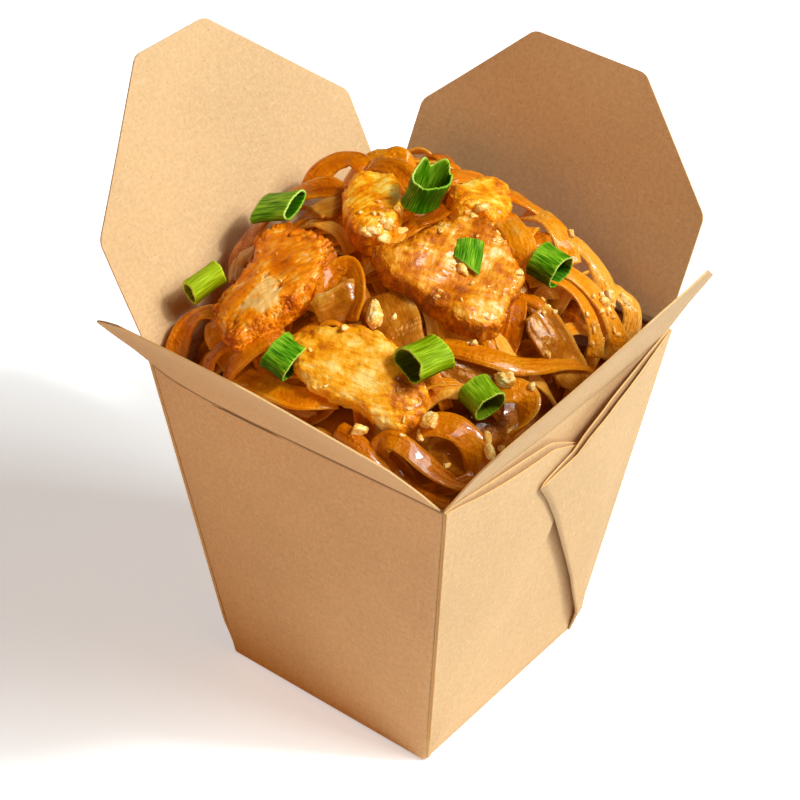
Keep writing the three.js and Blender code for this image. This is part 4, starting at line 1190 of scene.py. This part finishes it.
def addNoodle(bm, layers, laidOut, width, thickness, tint, length, seed):
    # a flat strip with round edges: a grid rolled up into a tube and pressed flat
    path, ahead, side, z, angle = laidOut
    count = len(path)
    _, strand, edge, uv = layers
    made = bmesh.ops.create_grid(bm, x_segments=12, y_segments=count - 1, size=1)["verts"]
    unwrap(made, uv, tall=length * 0.1, at=(0.0, seed * 0.37))
    rise = np.gradient(z, np.arange(count) * length / (count - 1))
    for vert in made:
        i = int(round((vert.co.y + 1) / 2 * (count - 1)))
        turn = math.pi * (vert.co.x + 0.1)
        forward = Vector((ahead[i][0], ahead[i][1], rise[i])).normalized()
        across = Vector((side[i][0] * math.cos(angle[i]), side[i][1] * math.cos(angle[i]), math.sin(angle[i])))
        across = (across - forward * across.dot(forward)).normalized()
        face = forward.cross(across)
        taper = 1 + 0.10 * noise.noise(Vector((i * 0.09, seed, 0)))
        u = math.copysign(abs(math.cos(turn)) ** 0.75, math.cos(turn)) * width / 2 * taper
        h = math.copysign(abs(math.sin(turn)) ** 0.9, math.sin(turn)) * thickness / 2
        h *= 1 + 0.12 * math.cos(3 * turn + seed) + 0.10 * math.sin(5 * turn + seed)
        cup = 0.5 * math.sin(seed * 2.1) * ((2 * u / width) ** 2 - 0.5)
        cup += 0.25 * noise.noise(Vector((u * 0.5, i * 0.16, seed)))
        vert.co = Vector((path[i][0], path[i][1], z[i])) + across * u + face * (h + cup)
        vert[strand] = tint
        vert[edge] = abs(math.cos(turn)) ** 3
    bmesh.ops.remove_doubles(bm, verts=made, dist=0.002)


def buildCore():
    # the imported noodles: a closed lump that fills the pail, ridged like the noodles in it
    bm = bmesh.new()
    bmesh.ops.create_cube(bm, size=2)
    bmesh.ops.subdivide_edges(bm, edges=bm.edges[:], cuts=23, use_grid_fill=True)
    sauce, strand, edge = newLayers(bm, "sauce", "strand", "edge")
    uv = bm.loops.layers.uv.new("noodle")
    for vert in bm.verts:
        a, b, c = vert.co
        share = (c + 1) / 2
        # the cube's even cuts come closer together towards its sides
        x, y = math.sin(1.45 * a) / math.sin(1.45), math.sin(1.45 * b) / math.sin(1.45)
        x, y = x * math.sqrt(1 - 0.12 * y * y), y * math.sqrt(1 - 0.12 * x * x)
        topX, topY = x * (halfOut(0, rimHeight) - 1.6), y * (halfOut(90, rimHeight) - 1.6)
        top = heapTop(topX, topY) - noodles["packed"]
        wander = 3 * noise.noise(Vector((topX * 0.05, topY * 0.05, 1)))
        top += 1.2 * math.sin(topX * 0.7 + wander) * noise.noise(Vector((topX * 0.08, topY * 0.08, 5)))
        z = mix(0.9, top, share ** 0.6)
        level = min(z, rimHeight)
        wander = 4 * noise.noise(Vector((topX * 0.04, topY * 0.04, 3)))
        drawnIn = 1 - 0.12 * smooth(106, 132, z) - 0.012 * math.sin(z * 0.9 + wander) * smooth(98, 106, z)
        vert.co = (x * (halfOut(0, level) - 1.4) * drawnIn, y * (halfOut(90, level) - 1.4) * drawnIn, z)
        # painted shade: the lump is seen only in the gaps between noodles, so it is darkened most of the way to the
        # sauce brown
        vert[sauce] = 0.8
        vert[strand] = 0.3
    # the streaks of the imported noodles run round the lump
    for face in bm.faces:
        for loop in face.loops:
            spot = loop.vert.co
            loop[uv].uv = (spot.z / 56, (spot.x + spot.y) / 28)
    bmesh.ops.recalc_face_normals(bm, faces=bm.faces)
    return bm, (sauce, strand, edge, uv)


def makeNoodleMaterial():
    material, tree, shader = newMaterial("sauceNoodle")
    place, onStrand = objectPlace(tree), uvPlace(tree, "noodle")
    streakMask = noiseOf(tree, stretched(tree, onStrand, (14.0, 0.7, 1.0)), 1.0, 3.0, 0.6)
    fineMask = noiseOf(tree, stretched(tree, onStrand, (34.0, 1.6, 1.0)), 1.0, 2.0, 0.5)
    blotch = noiseOf(tree, place, 130.0, 4.0)
    tint = swing(tree, streakMask, 0.9, attribute(tree, "strand"))
    tint = swing(tree, blotch, 1.1, tint)
    tint = maths(tree, "MULTIPLY_ADD", attribute(tree, "edge"), 0.25, tint)
    food = ramp(tree, tint, [(0.0, "#964000"), (0.3, "#CC6A02"), (0.64, "#E28606"), (1.0, "#F2AA40")])
    # painted shade: the noodles' attribute darkens them towards #5E1C00 where they lie deep, and random sauce patches
    # come on top
    glow(tree, shader, sauceAndShaded(tree, place, food, "#5E1C00", attribute(tree, "sauce"), 0.2, 130.0), 0.12)
    feed(tree, shader, {
        "Coat Weight": ramp(tree, noiseOf(tree, place, 260.0, 2.0), [(0.4, 0.2), (0.58, 0.7)]),
        "Coat Roughness": 0.05, "Roughness": 0.34, "Specular IOR Level": 0.35, "Specular Tint": tone("#FFC070"),
    })
    soften(tree, shader, 0.25, (1.0, 0.5, 0.1), 1.3)
    height = useGroup(tree, oilBeads, {"Vector": place})["Height"]
    for mask, weight in ((noiseOf(tree, place, 420.0, 2.0), 1.3), (fineMask, 0.7), (streakMask, 1.3)):
        height = maths(tree, "MULTIPLY_ADD", mask, weight, height)
    bump(tree, shader, height, 0.85, 0.42)
    return material


def buildNoodles():
    bm, layers = buildCore()
    draw = random.Random(noodles["seed"])
    coverFood()
    for x, y, wide, deep in hollows:
        relief.cover(lambda gx, gy: (gx - x) ** 2 + (gy - y) ** 2 < wide ** 2, lambda gx, gy: relief.top - deep)
    count = noodles["turns"]
    loose = [(item, *layLoose(item, count)) for item in looseNoodles.values()]
    laidCount = 0
    limitX, limitY = (halfOut(turn, rimHeight) - 3.4 - noodles["wallGap"] for turn in (0, 90))
    waiting = []
    for _ in range(noodles["tries"]):
        if waiting:
            heading, spot, bendA, bendB, length, width, tint = waiting.pop()
        else:
            heading = draw.uniform(0, 2 * math.pi)
            # the lowest of a few places comes first
            spots = [np.array([draw.uniform(-limitX, limitX), draw.uniform(-limitY, limitY)]) for _ in range(4)]
            room = relief.top - relief.low
            spot = spots[int(np.argmax([room[relief.index(place[None, :])][0] for place in spots]))]
            bendA, bendB = draw.uniform(-0.10, 0.10), draw.uniform(-0.05, 0.05)
            length, width, tint = draw.uniform(22, 56), draw.uniform(*noodles["width"]), draw.uniform(0.1, 0.9)
            # noodles run side by side in small skeins
            for lane in range(1, draw.choice((1, 2, 3, 4))):
                shift = np.array([-math.sin(heading), math.cos(heading)]) * lane * draw.uniform(4.2, 6.4)
                waiting.append((
                    heading + draw.uniform(-0.12, 0.12), spot + shift, bendA * draw.uniform(0.8, 1.25), bendB,
                    length * draw.uniform(0.8, 1.1), draw.uniform(*noodles["width"]),
                    min(1, max(0, tint + draw.uniform(-0.25, 0.25))),
                ))
        s = np.linspace(-0.5, 0.5, count) * length
        way = heading + bendA * s + bendB * np.sin(s * 0.16)
        path = spot + np.cumsum(np.array([np.cos(way), np.sin(way)]).T * length / count, axis=0)
        path -= path.mean(axis=0) - spot
        if (np.abs(path[:, 0]) > limitX).any() or (np.abs(path[:, 1]) > limitY).any():
            continue
        twist = draw.uniform(-0.25, 0.25) if draw.random() < 0.65 else draw.uniform(-0.9, 0.9)
        roll = twist * np.sin(np.linspace(0, math.pi * draw.choice((1, 1, 2)), count))
        laidOut = layNoodle(path, length, width, roll, draw.uniform(0, 0.9))
        if laidOut is None:
            continue
        thickness = noodles["thickness"] * draw.uniform(0.85, 1.15)
        addNoodle(bm, layers, laidOut, width, thickness, tint, length, laidCount + 1.0)
        laidCount += 1
    for i, (item, laidOut, length) in enumerate(loose):
        tint = item.get("tint", 0.5 + 0.09 * (i % 5))
        addNoodle(bm, layers, laidOut, item["width"], noodles["thickness"] * 1.15, tint, length, 500.0 + i)
        grid = relief.index(laidOut[0])
        np.maximum.at(relief.low, grid, laidOut[3])
    # painted shade: each noodle is darker the deeper it lies under what is laid round it
    smoothTop = relief.low.copy()
    for _ in range(6):
        padded = np.pad(smoothTop, 1, mode="edge")
        beside = padded[:-2, 1:-1] + padded[2:, 1:-1] + padded[1:-1, :-2] + padded[1:-1, 2:]
        smoothTop = (padded[1:-1, 1:-1] * 4 + beside) / 8
    sauce = layers[0]
    for vert in bm.verts:
        ix, iy = relief.index(np.array([[vert.co.x, vert.co.y]]))
        depth = smoothTop[ix[0], iy[0]] - vert.co.z
        # and darker still low in the pail, under 113 mm
        vert[sauce] = min(0.92, smooth(0.6, 5.5, depth) * 0.75 + 0.32 * smooth(113, 102, vert.co.z))
    bmesh.ops.recalc_face_normals(bm, faces=bm.faces)
    bmesh.ops.holes_fill(bm, edges=[edge for edge in bm.edges if edge.is_boundary], sides=12)
    print("noodles laid:", laidCount, "and loose:", len(looseNoodles), "faces:", len(bm.faces))
    finish("noodleHeap", bm, [makeNoodleMaterial()], stands=["noodles"])


buildNoodles()
print("noodles done")


def strewCrumbs():
    # drops each crumb straight down on to the food
    bpy.context.view_layer.update()
    graph = bpy.context.evaluated_depsgraph_get()
    draw = random.Random(crumbs["seed"])
    bm = bmesh.new()
    dropped = [(x, y, size, 1.0) for x, y, size in crumbs["seen"]]
    for x, y, spread, count, size in crumbs["strewn"]:
        for _ in range(count):
            dropped.append((x + draw.gauss(0, spread * 0.5), y + draw.gauss(0, spread * 0.5), size, 0.55))
    for x, y, size, least in dropped:
        start = Vector((x, y, 200)) * mm
        struck, where, normal, _, target, _ = bpy.context.scene.ray_cast(graph, start, Vector((0, 0, -1)))
        if not struck or target.name.startswith(("pail", "spring")) or "Card" in target.name:
            continue
        half = [size * draw.uniform(least, 1.15) * part for part in (1.35, 0.95, 0.8)]
        heading, lean = draw.uniform(0, 360), (draw.uniform(-25, 25), draw.uniform(-25, 25))
        place = laid(where / mm + normal * half[2] * 0.35, normal, heading, lean)
        addNut(bm, place, half, draw.randrange(1000), 3)
    bmesh.ops.recalc_face_normals(bm, faces=bm.faces)
    finish("peanutCrumbs", bm, [roastPeanut])


strewCrumbs()
print("peanuts done")

# the floor, the studio lights and the camera
studio = {
    "floor": "#FFFFFF", "glow": 0.5,
    # place in metres, size, watts and colour; each light faces the middle of the box
    "key": {"at": (0.87, 0.33, 1.10), "size": (0.8, 0.8), "power": 21, "colour": "#F0FCFF"},
    "spark": {"at": (0.81, 0.23, 1.16), "size": (0.12, 0.12), "power": 8.5, "colour": "#F0FCFF"},
    "fill": {"at": (-0.2, -1.35, 0.35), "size": (1.0, 0.6), "power": 5.2, "colour": "#FFB45E"},
    "world": 0.03, "sky": "#FFD2A0",
}


def addLight(name, light):
    data = bpy.data.lights.new(name, "AREA")
    data.shape = "RECTANGLE"
    data.size, data.size_y = light["size"]
    data.energy = light["power"]
    data.color = tone(light["colour"])[:3]
    lamp = bpy.data.objects.new(name, data)
    lamp.location = light["at"]
    lamp.rotation_euler = (Vector(light["at"]) - Vector((0, 0, 0.09))).to_track_quat("Z", "Y").to_euler()
    bpy.context.scene.collection.objects.link(lamp)


def buildStudio():
    bm = bmesh.new()
    bmesh.ops.create_grid(bm, x_segments=1, y_segments=1, size=3000)
    material, tree, shader = newMaterial("paleFloor")
    # the camera sees the floor a little brighter than it lights the box
    seen = addNode(tree, "ShaderNodeLightPath").outputs["Is Camera Ray"]
    feed(tree, shader, {
        "Base Color": tone(studio["floor"]), "Roughness": 0.9, "Specular IOR Level": 0.1,
        "Emission Color": (1, 1, 1, 1), "Emission Strength": maths(tree, "MULTIPLY", seen, studio["glow"]),
    })
    floor = finish("floor", bm, [material], body=None)
    floor.location.z = -0.0005
    for name in ("key", "spark", "fill"):
        addLight(name, studio[name])
    world = bpy.data.worlds.new("studio")
    world.use_nodes = True
    bpy.context.scene.world = world
    sky = {"Color": tone(studio["sky"]), "Strength": studio["world"]}
    feed(world.node_tree, world.node_tree.nodes["Background"], sky)
    bpy.context.scene.view_settings.view_transform = "Standard"


# where the camera stands: its bearing, height and roll in degrees, its distance and the point it looks at in
# millimetres
camera = {"bearing": 37.0, "height": 37.4, "roll": 1.7, "distance": 701.9, "target": (-20.8, 22.32, 63.0),
    "lens": 112.36}


def buildCamera():
    bearing, height, roll = (math.radians(camera[key]) for key in ("bearing", "height", "roll"))
    back = Vector((math.sin(bearing) * math.cos(height), -math.cos(bearing) * math.cos(height), math.sin(height)))
    right = Vector((0, 0, 1)).cross(back).normalized()
    up = back.cross(right)
    right, up = right * math.cos(roll) + up * math.sin(roll), up * math.cos(roll) - right * math.sin(roll)
    data = bpy.data.cameras.new("camera")
    data.lens = camera["lens"]
    data.sensor_width = 36
    data.sensor_fit = "HORIZONTAL"
    data.clip_start, data.clip_end = 0.01, 20
    view = bpy.data.objects.new("camera", data)
    view.matrix_world = Matrix((right, up, back)).transposed().to_4x4()
    view.location = (Vector(camera["target"]) + back * camera["distance"]) * mm
    bpy.context.scene.collection.objects.link(view)
    bpy.context.scene.camera = view


buildStudio()
buildCamera()
print("studio done")
